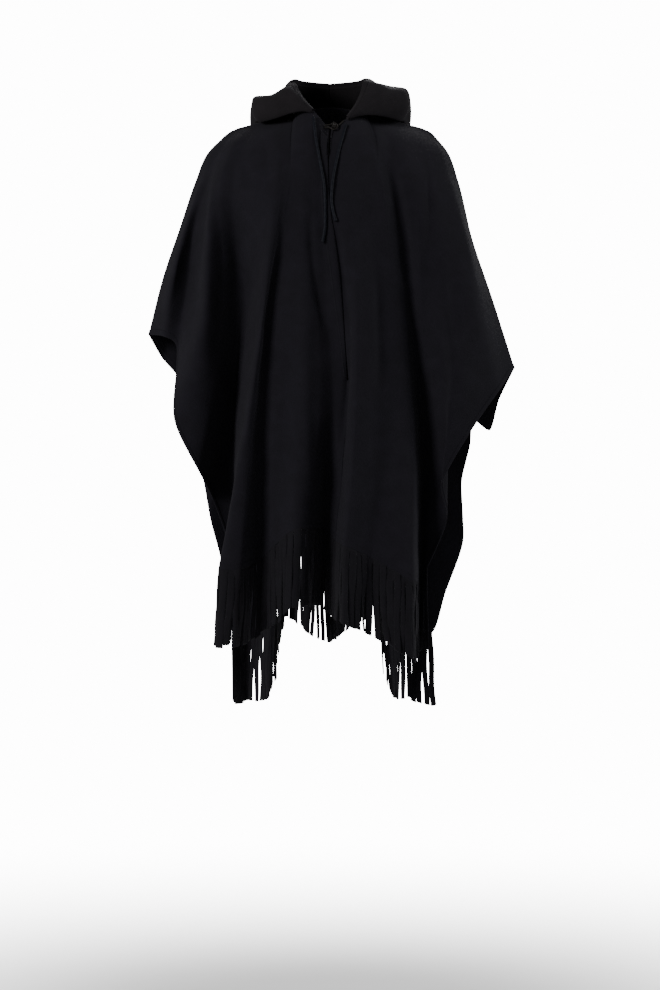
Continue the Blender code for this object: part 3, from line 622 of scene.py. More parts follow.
@dataclass
class Panel:
    """The front or the back: fold lines drop from the top edge, and the cloth runs from line to line."""

    name: str
    face: Face
    blocks: tuple[tuple[Fold, ...], ...]
    steps: int
    rows: int
    creases: tuple[Crease, ...]
    corners: tuple[tuple[int, int], tuple[int, int]]
    flat: tuple[float, float]
    area: float

    def __post_init__(self) -> None:
        """Works out the panel's middle points, its creases and its normals."""
        grids = [self.drop(self.lines(block)) for block in self.blocks]
        self.first_column = [0]
        for grid in grids:
            self.first_column.append(self.first_column[-1] + grid.shape[1])
        if len(grids) == 2:
            for grid, column, turn in ((grids[0], -1, -1), (grids[1], 0, 1)):
                wide = np.interp(grid[:, column, 2], (KEYHOLE_END_Z, KEYHOLE_TOP_Z),
                                 (SLIT_WIDTH, KEYHOLE_WIDTH))
                grid[:, column, 0] += turn * wide / 2
        self.points = np.concatenate(grids, axis=1)
        self.normals = surface_normals(self.points, self.face.value)
        self.settle()
        self.plain = self.points[0].copy(), self.normals[0].copy()
        height = crease_heights(self.points, self.creases) + soft_unevenness(self.points, 0.0005)
        self.points = self.points + self.normals * (height * self.loose())[..., None]
        settled = self.normals
        self.normals = surface_normals(self.points, self.face.value)
        self.normals[:, [0, -1]] = settled[:, [0, -1]]
        self.normals[0] = settled[0]
        self.turn_hem()

    def lines(self, folds: tuple[Fold, ...]) -> np.ndarray:
        """The table's numbers, with extra lines eased in between each two folds.

        Args:
            folds: the folds of one block.

        Returns:
            One row of ten numbers for each line.
        """
        table = np.array([fold[1:] for fold in folds])
        slopes = 2 * FOLD_TENSION * np.gradient(table, axis=0)
        where = np.arange((len(folds) - 1) * self.steps + 1) / self.steps
        left = np.minimum(where.astype(int), len(folds) - 2)
        u = (where - left)[:, None]
        return hermite(table[left], table[left + 1], slopes[left], slopes[left + 1], u)

    def top_edge(self, x: np.ndarray) -> np.ndarray:
        """The shoulder seam's height read from its table, and the neckline as half an ellipse in plan."""
        reach = np.sqrt(np.clip(1 - (x / NECK_HALF_WIDTH) ** 2, 0, 1))
        seam_z = np.interp(x, SHOULDER_X, SHOULDER_Z)
        outside = np.abs(x) >= NECK_HALF_WIDTH
        back = SEAM_BACK * (np.abs(x) - NECK_HALF_WIDTH)
        if self.face is Face.FRONT:
            inner_y, inner_z = -NECK_FRONT * reach, np.interp(x, THROAT_X, THROAT_Z)
        else:
            start = np.interp(NECK_HALF_WIDTH, SHOULDER_X, SHOULDER_Z)
            inner_y, inner_z = NECK_BACK * reach, start + (NAPE_Z - start) * reach ** 2
        return np.stack([x, np.where(outside, back, inner_y), np.where(outside, seam_z, inner_z)], axis=-1)

    def drop(self, lines: np.ndarray) -> np.ndarray:
        """Each line's points from the top edge to the cloth's lower edge, closer together at the hem.

        Args:
            lines: one row of ten numbers for each line.

        Returns:
            The grid, rows by columns by x, y and z.
        """
        top_x, yoke_x, chest_x, elbow_x, end_x, yoke_y, chest_y, elbow_y, end_y, end_z = lines.T
        top = self.top_edge(top_x)
        yoke = np.stack([yoke_x, yoke_y, np.full_like(yoke_x, YOKE_Z)], axis=-1)
        bow = top + (yoke - top) * np.array([BOW_OUT, BOW_OUT, BOW_DOWN])
        chest = np.stack([chest_x, chest_y, YOKE_Z + CHEST_FALL * (end_z - YOKE_Z)], axis=-1)
        elbow = np.stack([elbow_x, elbow_y, YOKE_Z + ELBOW_FALL * (end_z - YOKE_Z)], axis=-1)
        knots = np.stack([top, bow, yoke, chest, elbow, np.stack([end_x, end_y, end_z], axis=-1)])
        reach = chord_lengths(knots)
        upper = np.linspace(0, 1, self.rows)[:, None] * (reach[-1] - HEM_BAND)
        lower = reach[-1] - HEM_BAND + np.linspace(0, 1, HEM_ROWS + 1)[1:, None] * HEM_BAND
        return smooth_through(knots, reach, np.concatenate([upper, lower]))

    def settle(self) -> None:
        """Turns the normals along the shoulder and arm seams square to the seam."""
        shoulder = np.abs(self.points[0, :, 0]) >= NECK_HALF_WIDTH
        tangents = np.gradient(self.points[0], axis=0)
        square = unit(np.stack([-tangents[:, 2], 0 * tangents[:, 2], tangents[:, 0]], axis=1))
        self.normals[0, shoulder] = square[shoulder]
        for column, turn in ((0, 1), (-1, -1)):
            tangents = np.gradient(self.points[:, column], axis=0)
            square = unit(np.stack([tangents[:, 2], 0 * tangents[:, 2], -tangents[:, 0]], axis=1))
            self.normals[:, column] = square * turn

    def loose(self) -> np.ndarray:
        """1 in the open cloth, 0 at the seams and the neckline."""
        rows, columns = self.points.shape[:2]
        down = smooth_step(0, 0.07, np.arange(rows) / rows)[:, None]
        side = np.minimum(np.arange(columns), np.arange(columns)[::-1])
        return down * smooth_step(0, 1.5 * self.steps, side)[None]

    def hem_columns(self) -> tuple[int, int]:
        """The columns where the fringe starts and ends."""
        return tuple(self.first_column[block] + fold * self.steps for block, fold in self.corners)

    def turn_hem(self) -> None:
        """Thickens the turned side hems: 0.7 mm over the turning, with a groove where it is stitched."""
        rows = self.points.shape[0]
        above = np.zeros(rows)
        above[-HEM_ROWS - 1:] = np.linspace(HEM_BAND, 0, HEM_ROWS + 1)
        above[:-HEM_ROWS - 1] = HEM_BAND
        turning = smooth_step(HEM_TURN + 0.0015, HEM_TURN - 0.002, above)
        groove = np.exp(-((above - HEM_TURN) / 0.0012) ** 2)
        profile = 0.0007 * turning - 0.0006 * groove
        start, end = self.hem_columns()
        columns = np.arange(self.points.shape[1])
        hemmed = smooth_step(4, -2, columns - start) + smooth_step(-4, 2, columns - end)
        self.points = self.points + self.normals * (profile[:, None] * hemmed[None])[..., None]

    def at(self, row: np.ndarray, column: np.ndarray, lift: float) -> tuple[np.ndarray, np.ndarray]:
        """Points on the outer side, lifted off it, and their normals, at fractions of rows and columns."""
        r, c = np.broadcast_arrays(np.asarray(row, float), np.asarray(column, float))
        r0 = np.clip(r.astype(int), 0, self.points.shape[0] - 2)
        c0 = np.clip(c.astype(int), 0, self.points.shape[1] - 2)
        v, u = (r - r0)[..., None], (c - c0)[..., None]
        found = []
        for grid in (self.points, self.normals):
            upper = grid[r0, c0] * (1 - u) + grid[r0, c0 + 1] * u
            lower = grid[r0 + 1, c0] * (1 - u) + grid[r0 + 1, c0 + 1] * u
            found.append(upper * (1 - v) + lower * v)
        return found[0] + unit(found[1]) * (WALL / 2 + lift), unit(found[1])

    def hem_row(self, above: float) -> float:
        """The row, as a fraction, that lies above the lower edge by that distance."""
        return self.points.shape[0] - 1 - above / HEM_BAND * HEM_ROWS

    def build(self) -> bpy.types.Object:
        """The panel's wall, open along the slit."""
        kept = np.ones((self.points.shape[0] - 1, self.points.shape[1] - 1), bool)
        if len(self.blocks) == 2:
            slit = self.first_column[1] - 1
            kept[:, slit] = self.points[:-1, slit, 2] < SLIT_END_Z
        corners, faces = wall_faces(self.points, self.normals, WALL, kept)
        thing = SHOP.piece(f"{self.name}_felt", corners, faces, FELT, [self.name])
        return thing


BAND_Z = (-0.010, -0.245, -0.309, -0.375, -0.423, -0.470)
BAND_WIDE = (0.0165, 0.0180, 0.0160, 0.0120, 0.0090, 0.0070)


@dataclass
class Placket:
    """The turned band on the left edge of the slit, lying on the front."""

    front: Panel
    rise: float = WALL / 2 + SEAM_GAP + PLACKET_WALL / 2

    def rows(self) -> np.ndarray:
        """The front's rows that the band covers."""
        slit = self.front.first_column[1] - 1
        return np.arange(6, int(np.sum(self.front.points[:, slit, 2] > SLIT_END_Z)))

    def column(self, rows: np.ndarray, share: np.ndarray) -> np.ndarray:
        """The front's column at a share of the band's width, from the slit. BAND_WIDE has the width."""
        slit = self.front.first_column[1] - 1
        whole = np.clip(rows.astype(int), 0, len(self.front.points) - 1)
        near = self.front.points[whole, slit]
        pitch = np.linalg.norm(near - self.front.points[whole, slit - self.front.steps],
                               axis=-1) / self.front.steps
        wide = np.interp(near[:, 2], BAND_Z[::-1], BAND_WIDE[::-1])
        return slit - share * (wide / pitch)

    def build(self) -> bpy.types.Object:
        """The band: the front's own surface beside the slit, moved out by the rise."""
        rows = self.rows()
        grid_rows = np.repeat(rows[:, None], 13, axis=1)
        columns = np.stack([self.column(rows, share) for share in np.linspace(1, 0, 13)], axis=1)
        points, normals = self.front.at(grid_rows, columns, self.rise - WALL / 2)
        corners, faces = wall_faces(points, normals, PLACKET_WALL)
        return SHOP.piece("placket_band", corners, faces, FELT, ["placket"])

    def run(self, share: float, lift: float) -> tuple[np.ndarray, np.ndarray]:
        """A line down the band at a share of its width."""
        rows = self.rows().astype(float)
        return self.front.at(rows, self.column(rows, share), SEAM_GAP + PLACKET_WALL + lift)


class HoodSection(NamedTuple):
    """One section of the lowered hood, at an angle round the neck from the throat: radius and height."""

    degrees: float
    low_r: float
    low_z: float
    fold_r: float
    fold_z: float
    side_r: float
    side_z: float
    crest_r: float
    crest_z: float
    rim_r: float
    rim_z: float
    right_lift: float
    right_shift: float


HOOD = (
    HoodSection(24, 0.0735, 0.007, 0.0785, 0.004, 0.0805, 0.006, 0.0795, 0.009, 0.0745, 0.0105, 0.0, -0.013),
    HoodSection(36, 0.0745, 0.013, 0.0835, 0.007, 0.0865, 0.014, 0.0830, 0.024, 0.0735, 0.025, 0.000, -0.009),
    HoodSection(50, 0.0765, 0.015, 0.0915, 0.0045, 0.0940, 0.022, 0.0850, 0.042, 0.070, 0.042, 0.000, -0.003),
    HoodSection(65, 0.0815, 0.013, 0.110, -0.003, 0.113, 0.028, 0.0900, 0.051, 0.066, 0.058, 0.006, 0.003),
    HoodSection(80, 0.0900, 0.008, 0.129, -0.006, 0.133, 0.034, 0.100, 0.043, 0.066, 0.064, 0.012, 0.002),
    HoodSection(95, 0.0950, 0.008, 0.137, -0.001, 0.138, 0.037, 0.104, 0.047, 0.070, 0.066, 0.016, 0.000),
    HoodSection(115, 0.100, 0.004, 0.150, -0.035, 0.158, 0.012, 0.112, 0.050, 0.080, 0.074, 0.012, 0.000),
    HoodSection(135, 0.103, -0.010, 0.168, -0.110, 0.188, -0.040, 0.140, 0.046, 0.088, 0.082, 0.004, 0.000),
    HoodSection(155, 0.105, -0.018, 0.162, -0.180, 0.198, -0.100, 0.162, 0.034, 0.112, 0.084, 0.000, 0.000),
    HoodSection(180, 0.106, -0.020, 0.152, -0.225, 0.200, -0.125, 0.168, 0.030, 0.124, 0.083, 0.000, 0.000),
)
CREST_SHARE = 0.3


class HoodCrease(NamedTuple):
    """One crease in the hood: its two ends as degrees round the neck and share of the way up the cloth."""

    name: str
    start_degrees: float
    start_share: float
    end_degrees: float
    end_share: float
    width: float
    height: float


LEFT_HOOD_CREASES = (
    HoodCrease("front drag", 58, 0.62, 88, 0.80, 0.05, -0.0022),
    HoodCrease("side crest", 78, 0.50, 112, 0.70, 0.05, 0.0024),
    HoodCrease("under the fold", 70, 0.36, 128, 0.44, 0.05, -0.0028),
    HoodCrease("crown slump", 118, 0.55, 164, 0.78, 0.06, -0.0042),
    HoodCrease("crown crest", 126, 0.70, 172, 0.62, 0.05, 0.0034),
    HoodCrease("pouch pull", 140, 0.30, 176, 0.50, 0.06, -0.0040),
    HoodCrease("rim ripple", 100, 0.88, 150, 0.94, 0.04, -0.0022),
)
RIGHT_HOOD_CREASES = (
    HoodCrease("front drag", 54, 0.60, 80, 0.74, 0.05, -0.0020),
    HoodCrease("side crest", 84, 0.58, 120, 0.66, 0.05, 0.0026),
    HoodCrease("under the fold", 66, 0.38, 118, 0.40, 0.05, -0.0026),
    HoodCrease("crown slump", 112, 0.48, 158, 0.72, 0.06, -0.0044),
    HoodCrease("crown crest", 130, 0.80, 174, 0.70, 0.05, 0.0030),
    HoodCrease("pouch pull", 134, 0.36, 178, 0.40, 0.06, -0.0036),
    HoodCrease("rim ripple", 92, 0.90, 138, 0.86, 0.04, -0.0020),
)


@dataclass
class HoodHalf:
    """One half of the lowered hood: a section for each angle, smooth from the throat to the seam behind."""

    half: Half
    creases: tuple[HoodCrease, ...]
    front: Panel
    back: Panel
    turns: int = 14
    profile: int = 84

    @property
    def name(self) -> str:
        """The half's name."""
        return f"hood_{self.half.name.lower()}"

    def neck_ring(self, degrees: np.ndarray) -> tuple[np.ndarray, np.ndarray]:
        """Points on the panels' neck edge at these angles from the throat, and the way out of the cloth."""
        angle = np.radians(degrees)
        depth = np.where(degrees > 90, NECK_BACK, NECK_FRONT)
        x = self.half.value * np.sin(angle) / np.hypot(np.sin(angle) / NECK_HALF_WIDTH, np.cos(angle) / depth)
        read = []
        for panel in (self.front, self.back):
            edge, out = panel.plain
            found = [np.interp(x, edge[:, 0], row[:, axis]) for row in (edge, out) for axis in range(3)]
            read.append(np.stack(found, axis=-1))
        both = np.where((degrees > 90)[:, None], read[1], read[0])
        return both[:, :3], unit(both[:, 3:])

    def grid(self) -> tuple[np.ndarray, np.ndarray]:
        """The middle points and normals, rows up the cloth and columns round the neck."""
        turn = self.half.value
        table = np.array(HOOD)
        count = (len(table) - 1) * self.turns + 1
        where = np.linspace(0, len(table) - 1, count)
        marks = np.arange(len(table), dtype=float)
        lines = smooth_through(table, marks, where)
        degrees, lift, shift = lines[:, 0], lines[:, -2] * (turn > 0), lines[:, -1] * (turn > 0)
        angle = np.radians(degrees)
        outward = np.stack([turn * np.sin(angle), -np.cos(angle), 0 * angle], axis=-1)
        place, out = self.neck_ring(degrees)
        knots = [place + out * (WALL + 2 * SEAM_GAP)]
        for index, share in enumerate((0, 0, 1, 1, 1)):
            share = CREST_SHARE if index == 4 else share
            height = lines[:, 2 + 2 * index] + lift * share + shift
            knots.append(outward * lines[:, 1 + 2 * index, None] + height[:, None] * np.array([0, 0, 1.0]))
        knots = np.stack(knots)
        reach = chord_lengths(knots)
        upper = np.linspace(0, 1, self.profile)[:, None] * (reach[-1] - HEM_BAND)
        lower = reach[-1] - HEM_BAND + np.linspace(0, 1, HEM_ROWS + 1)[1:, None] * HEM_BAND
        points = smooth_through(knots, reach, np.concatenate([upper, lower]))
        points[:, -1, 0] = turn * SEAM_GAP / 2
        normals = surface_normals(points, turn)
        shares = (np.arange(len(points)) / (len(points) - 1))[:, None]
        height = self.heights(degrees[None], shares)
        points = points + normals * height[..., None]
        points[:, -1, 0] = turn * SEAM_GAP / 2
        normals = surface_normals(points, turn)
        normals[:, -1, 0] = 0
        return points, unit(normals)

    def heights(self, degrees: np.ndarray, shares: np.ndarray) -> np.ndarray:
        """Bells of height across each crease's line, plus the face edge's turned hem and the seam behind."""
        total = np.zeros(np.broadcast(degrees, shares).shape)
        for crease in self.creases:
            start = np.array([crease.start_degrees / 90, crease.start_share])
            run = np.array([crease.end_degrees / 90, crease.end_share]) - start
            flat = np.stack(np.broadcast_arrays(degrees / 90, shares), axis=-1)
            share = np.clip(np.sum((flat - start) * run, axis=-1) / (run @ run), 0, 1)
            far = np.linalg.norm(flat - start - share[..., None] * run, axis=-1)
            total += crease.height * np.exp(-(far / crease.width) ** 2) * np.sin(math.pi * share) ** 0.7
        total = total * smooth_step(0.02, 0.15, shares)
        rows = total.shape[0]
        above = np.full(rows, HEM_BAND)
        above[-HEM_ROWS - 1:] = np.linspace(HEM_BAND, 0, HEM_ROWS + 1)
        turning = smooth_step(HEM_TURN + 0.0015, HEM_TURN - 0.002, above)
        groove = np.exp(-((above - HEM_TURN) / 0.0012) ** 2)
        seam = np.exp(-((180 - degrees) / 1.2) ** 2)
        return total + (0.0007 * turning - 0.0006 * groove)[:, None] - 0.0009 * seam

    def build(self) -> bpy.types.Object:
        """The half's wall."""
        self.points, self.normals = self.grid()
        corners, faces = wall_faces(self.points, self.normals, WALL)
        # The hood uses the body's felt painted lighter, standing in for the light that falls on it.
        thing = SHOP.piece(f"{self.name}_felt", corners, faces, HOOD_FELT_PAINTED_LIGHTER, [self.name])
        return thing


class Parting(NamedTuple):
    """Where two strips of the fringe part: how far to the side, and how wide at their tips."""

    x: float
    width: float


FRONT_PARTINGS = (
    Parting(-0.102, 0.012), Parting(-0.053, 0.012), Parting(-0.025, 0.010), Parting(0.019, 0.006),
    Parting(0.036, 0.008), Parting(0.053, 0.009), Parting(0.074, 0.014), Parting(0.087, 0.010),
)
BACK_PARTINGS = (
    Parting(-0.142, 0.006), Parting(-0.122, 0.005), Parting(-0.056, 0.020), Parting(-0.026, 0.016),
    Parting(0.040, 0.014), Parting(0.079, 0.020), Parting(0.093, 0.012), Parting(0.112, 0.008),
    Parting(0.140, 0.006), Parting(0.172, 0.007),
)


@dataclass
class Fringe:
    """Strips cut in a panel's lower edge: one cloth with it at the top, and each strip with its own bend."""

    panel: Panel
    seed: float
    partings: tuple[Parting, ...]
    length: float = 0.135
    pitch: float = 0.0135
    slit: float = 0.0012
    across: int = 4
    rows: int = 34
    slope_share: float = 0.35

    @property
    def name(self) -> str:
        """The fringe's name."""
        return f"fringe_{self.panel.face.name.lower()}"

    def roots(self) -> tuple[np.ndarray, ...]:
        """Where the strips start: points, outward directions and falls at each strip's two edges."""
        first, last = self.panel.hem_columns()
        coarse = slice(first, last + 1, 1)
        hem = self.panel.points[-1, coarse]
        out = self.panel.normals[-1, coarse]
        fall = unit(self.panel.points[-1, coarse] - self.panel.points[-6, coarse])
        reach = chord_lengths(hem)
        count = round(reach[-1] / self.pitch)
        index = np.arange(count)
        edges = (np.arange(count + 1) + 0.21 * uneven(2.1 * np.arange(count + 1), self.seed)) / count
        edges[0], edges[-1] = 0, 1
        margin = self.slit / 2 / reach[-1]
        shares = np.linspace(edges[:-1] + margin, edges[1:] - margin, self.across + 1, axis=1)
        wanted = shares * reach[-1]
        read = [np.stack([np.interp(wanted, reach, grid[:, axis]) for axis in range(3)], axis=-1)
                for grid in (hem, out, fall)]
        return read[0], unit(read[1]), unit(read[2]), index

    def build(self) -> bpy.types.Object:
        """Each strip hangs along its fall, turned about it, bowed, and swung a little more the lower it is.

        A point is the strip's middle line plus its place across the strip, turned by the twist at that
        depth. The middle line is the root plus depth along the fall plus a sideways and an outward
        swing, each its own size times the depth squared.
        """
        root, out, fall, index = self.roots()
        strips = len(index)
        centre = root.mean(axis=1)
        outward = unit(out.mean(axis=1))
        fall = unit(self.slope_share * fall.mean(axis=1) + np.array([0, 0, -(1 - self.slope_share)]))
        level = unit((root[:, -1] - root[:, 0]) * np.array([1, 1, 0.0]))
        outward = unit(np.cross(fall, level)
                       * np.sign(np.sum(np.cross(fall, level) * outward, axis=1))[:, None])
        top = 0.004 + 0.014 * np.abs(uneven(1.7 * index, self.seed + 3.0))
        odd = np.abs(uneven(1.3 * index, self.seed + 7.7)) > 0.8
        long = self.length + (0.0012 + 0.005 * odd) * uneven(1.9 * index, 4.1)
        depth = np.linspace(0, 1, self.rows)[:, None] * long[None]
        free = np.clip(depth - top, 0, None) / self.length
        tight = np.abs(uneven(1.6 * index, self.seed + 0.7)) > 0.8
        twist = (0.16 + 0.75 * tight) * uneven(index, self.seed + 2.0)
        sway = 0.005 * np.sin(0.33 * index + self.seed) + 0.0022 * uneven(1.8 * index, self.seed + 5.0)
        for parting in self.partings:
            away = centre[:, 0] - parting.x
            sway = sway + parting.width / 2 * np.sign(away) * np.exp(-np.abs(away) / 0.022)
        swing = 0.0016 * np.where(index % 2, 1, -1) + 0.0020 * uneven(index, self.seed + 6.1)
        ripple = 0.0007 * np.sin(free * 7.5 + 3 * uneven(index, 0.3))
        middle = centre + fall * depth[..., None]
        middle = middle + level * (sway * free ** 2 + ripple)[..., None]
        middle = middle + outward * (swing * free ** 1.6 + 1.4 * ripple)[..., None]
        arm = root - centre[:, None]
        angle = (twist * smooth_step(0, 0.85, free))[..., None, None]
        shrink = 1 - 0.03 * smooth_step(0, 0.3, free)[..., None, None]
        axis = np.broadcast_to(fall[None, :, None], (self.rows, strips, self.across + 1, 3))
        turned = arm * np.cos(angle) + np.cross(axis, np.broadcast_to(arm, axis.shape)) * np.sin(angle)
        points = middle[:, :, None] + turned * shrink
        place = np.linspace(-1, 1, self.across + 1)
        curl = (0.0010 * uneven(index, self.seed + 1.3))[None, :, None] * (place ** 2)[None, None]
        face = outward * 1.0
        face_turned = face * np.cos(angle[..., 0]) + np.cross(fall, face) * np.sin(angle[..., 0])
        curl_size = (curl * smooth_step(0, 0.5, free)[..., None])[..., None]
        points = points + face_turned[:, :, None] * curl_size
        start_out = np.broadcast_to(out[None], points.shape)
        given = smooth_step(0, 0.06, free)[..., None, None]
        normals = unit(start_out * (1 - given) + face_turned[:, :, None] * given)
        points = points.reshape(self.rows, -1, 3)
        normals = normals.reshape(self.rows, -1, 3)
        columns = points.shape[1]
        kept = np.ones((self.rows - 1, columns - 1), bool)
        gaps = np.arange(1, strips) * (self.across + 1) - 1
        slit_top = np.minimum(top[:-1], top[1:])
        kept[:, gaps] = depth[1:, :-1] < slit_top
        corners, faces = wall_faces(points, normals, WALL, kept)
        thing = SHOP.piece(f"{self.name}_felt", corners, faces, FRINGE_FELT, [self.name])
        f"{self.panel.name}_felt"
        return thing


def tube(path: np.ndarray, radius: np.ndarray, sides: int, reference: np.ndarray,
         lobes: int = 0, depth: float = 0.0, pitch: float = 0.01) -> tuple[np.ndarray, np.ndarray]:
    """A closed tube along a path, with twisted lobes and a flat cap of a fan at each end.

    At angle a and distance s the radius is r times (1 - depth (1 - cos(lobes a - 2 pi s / pitch)) / 2).

    Args:
        path: the middle line.
        radius: the radius at each point of it.
        sides: how many sides the tube has.
        reference: a direction, or one for each point, that is never along the path.
        lobes: how many strands show round it.
        depth: how deep the grooves between them are, as a share of the radius.
        pitch: the distance in which the strands turn by one lobe.

    Returns:
        The corners and the faces.
    """
    ahead = unit(np.gradient(path, axis=0))
    reference = np.broadcast_to(reference, path.shape)
    first = unit(reference - ahead * np.sum(reference * ahead, axis=1, keepdims=True))
    second = np.cross(ahead, first)
    angle = np.linspace(0, 2 * math.pi, sides, endpoint=False)
    gone = chord_lengths(path)
    groove = (1 - np.cos(lobes * angle[None] - 2 * math.pi * gone[:, None] / pitch)) / 2
    reach = radius[:, None] * (1 - depth * groove)
    ring = np.cos(angle)[None, :, None] * first[:, None] + np.sin(angle)[None, :, None] * second[:, None]
    corners = (path[:, None] + ring * reach[..., None]).reshape(-1, 3)
    rows = len(path)
    number = np.arange(rows * sides).reshape(rows, sides)
    after = np.roll(number, -1, axis=1)
    faces = np.stack([number[:-1], after[:-1], after[1:], number[1:]], axis=-1).reshape(-1, 4)
    ends = np.array([rows * sides, rows * sides + 1])
    caps = []
    for row, end, turn in ((0, ends[0], 1), (-1, ends[1], -1)):
        fan = np.stack([after[row], number[row]][::turn] + [np.full(sides, end)] * 2, axis=-1)
        caps.append(fan)
    corners = np.concatenate([corners, path[[0, -1]]])
    return corners, np.concatenate([faces, *caps])


@dataclass
class Tie:
    """One round tie that hangs from the neck edge, flared a little where it is cut."""

    name: str
    route: tuple[tuple[float, float, float], ...]
    length: float
    diameter: float = 0.0055

    def build(self) -> bpy.types.Object:
        """A tube along the smooth route, with fine yarns twisted round it. It is a tenth wider at the end."""
        knots = np.array(self.route)
        reach = chord_lengths(knots)
        path = smooth_through(knots, reach, np.linspace(0, reach[-1], 150))
        gone = chord_lengths(path)
        left = gone[-1] - gone
        radius = self.diameter / 2 * (1 + 0.14 * smooth_step(0.012, 0.002, left) + 0.03 * np.sin(gone * 260))
        radius[0] *= 0.6
        radius[-1] *= 0.75
        corners, faces = tube(path, radius, 20, np.array([1.0, 0.2, 0.0]), 5, 0.10, 0.012)
        thing = SHOP.piece(f"{self.name}_cord", corners, faces, TIE_CORD, [self.name])
        return thing


TIE_LEFT = (
    (-0.0290, -0.0789, -0.0045),
    (-0.0280, -0.0900, -0.0180),
    (-0.0268, -0.0987, -0.0305),
    (-0.0255, -0.1044, -0.0430),
    (-0.0205, -0.1177, -0.0730),
    (-0.0160, -0.1269, -0.0980),
    (-0.0105, -0.1355, -0.1300),
    (-0.0085, -0.1394, -0.1660),
    (-0.0085, -0.1397, -0.2030),
    (-0.0130, -0.1379, -0.2330),
)
TIE_RIGHT = (
    (0.0285, -0.0802, -0.0185),
    (0.0240, -0.0949, -0.0350),
    (0.0212, -0.1035, -0.0465),
    (0.0180, -0.1089, -0.0580),
    (0.0120, -0.1208, -0.0850),
    (0.0065, -0.1295, -0.1120),
    (0.0035, -0.1358, -0.1350),
    (0.0025, -0.1388, -0.1600),
    (0.0055, -0.1412, -0.1800),
    (0.0105, -0.1421, -0.1960),
)


@dataclass
class Frog:
    """The cord fastening at the throat: a knot, a loop round it and the knot's tail."""

    knot_place: tuple[float, float, float] = (0.0070, -0.0803, -0.0220)
    knot_radius: float = 0.0046
    cord: float = 0.0030
    slope: float = 0.90
    loop_lift: float = 0.0007
    loop_left_x: float = -0.0095
    loop_end_share: float = 0.62
    loop_wrap: float = math.radians(144)
    tail: tuple = ((0.0148, -0.0758, -0.0200), (0.0195, -0.0730, -0.0155), (0.0243, -0.0702, -0.0107))

    def build_knot(self) -> bpy.types.Object:
        """A ball of cord: a trefoil line 2.2 + 0.95 cos 3t mm round y, with a plain core inside."""
        t = np.linspace(0, 2 * math.pi, 161)
        round_y = 0.0022 + 0.00095 * np.cos(3 * t)
        path = np.stack([round_y * np.cos(2 * t), 0.0023 * np.sin(3 * t), round_y * np.sin(2 * t)], axis=1)
        path = path + np.array(self.knot_place)
        away = unit(path - np.array(self.knot_place))
        corners, faces = tube(path, np.full(len(path), 0.00145), 14, away, 3, 0.22, 0.0026)
        core_path = np.array(self.knot_place) + np.linspace(-1, 1, 13)[:, None] * np.array([0, 0.0030, 0])
        core_radius = 0.0030 * np.sqrt(np.clip(1.02 - np.linspace(-1, 1, 13) ** 2, 0, 1))
        core, core_faces = tube(core_path, core_radius, 16, np.array([1.0, 0, 0]))
        points = np.concatenate([corners, core])
        quads = np.concatenate([faces, core_faces + len(corners)])
        return SHOP.piece("frog_knot_cord", points, quads, FROG_CORD_FINISH, ["frog_knot"])

    def build_loop(self) -> bpy.types.Object:
        """Two strands from the left that join round the knot, lying on the throat's slope."""
        x, y, z = self.knot_place
        radius = self.knot_radius + SEAM_GAP + self.cord / 2
        turn = np.linspace(self.loop_wrap, -self.loop_wrap, 13)
        apart = self.loop_end_share * self.cord
        flat = np.concatenate([
            [[self.loop_left_x, apart]],
            np.stack([x + radius * np.cos(turn), radius * np.sin(turn)], axis=1),
            [[self.loop_left_x, -apart]],
        ])
        knots = np.stack([flat[:, 0], y - self.loop_lift + self.slope * flat[:, 1], z + flat[:, 1]], axis=1)
        reach = chord_lengths(knots)
        path = smooth_through(knots, reach, np.linspace(0, reach[-1], 120))
        tilt = np.array([0, 1.0, -self.slope])
        corners, faces = tube(path, np.full(len(path), self.cord / 2), 16, tilt, 3, 0.24, 0.0028)
        return SHOP.piece("frog_loop_cord", corners, faces, FROG_CORD_FINISH, ["frog_loop"])

    def build_tail(self) -> bpy.types.Object:
        """The knot's cord running on to the neck edge."""
        knots = np.array(self.tail)
        reach = chord_lengths(knots)
        path = smooth_through(knots, reach, np.linspace(0, reach[-1], 40))
        radius = np.full(len(path), self.cord / 2)
        corners, faces = tube(path, radius, 16, np.array([0, 1.0, 0.3]), 3, 0.24, 0.0028)
        return SHOP.piece("frog_tail_cord", corners, faces, FROG_CORD_FINISH, ["frog_tail"])


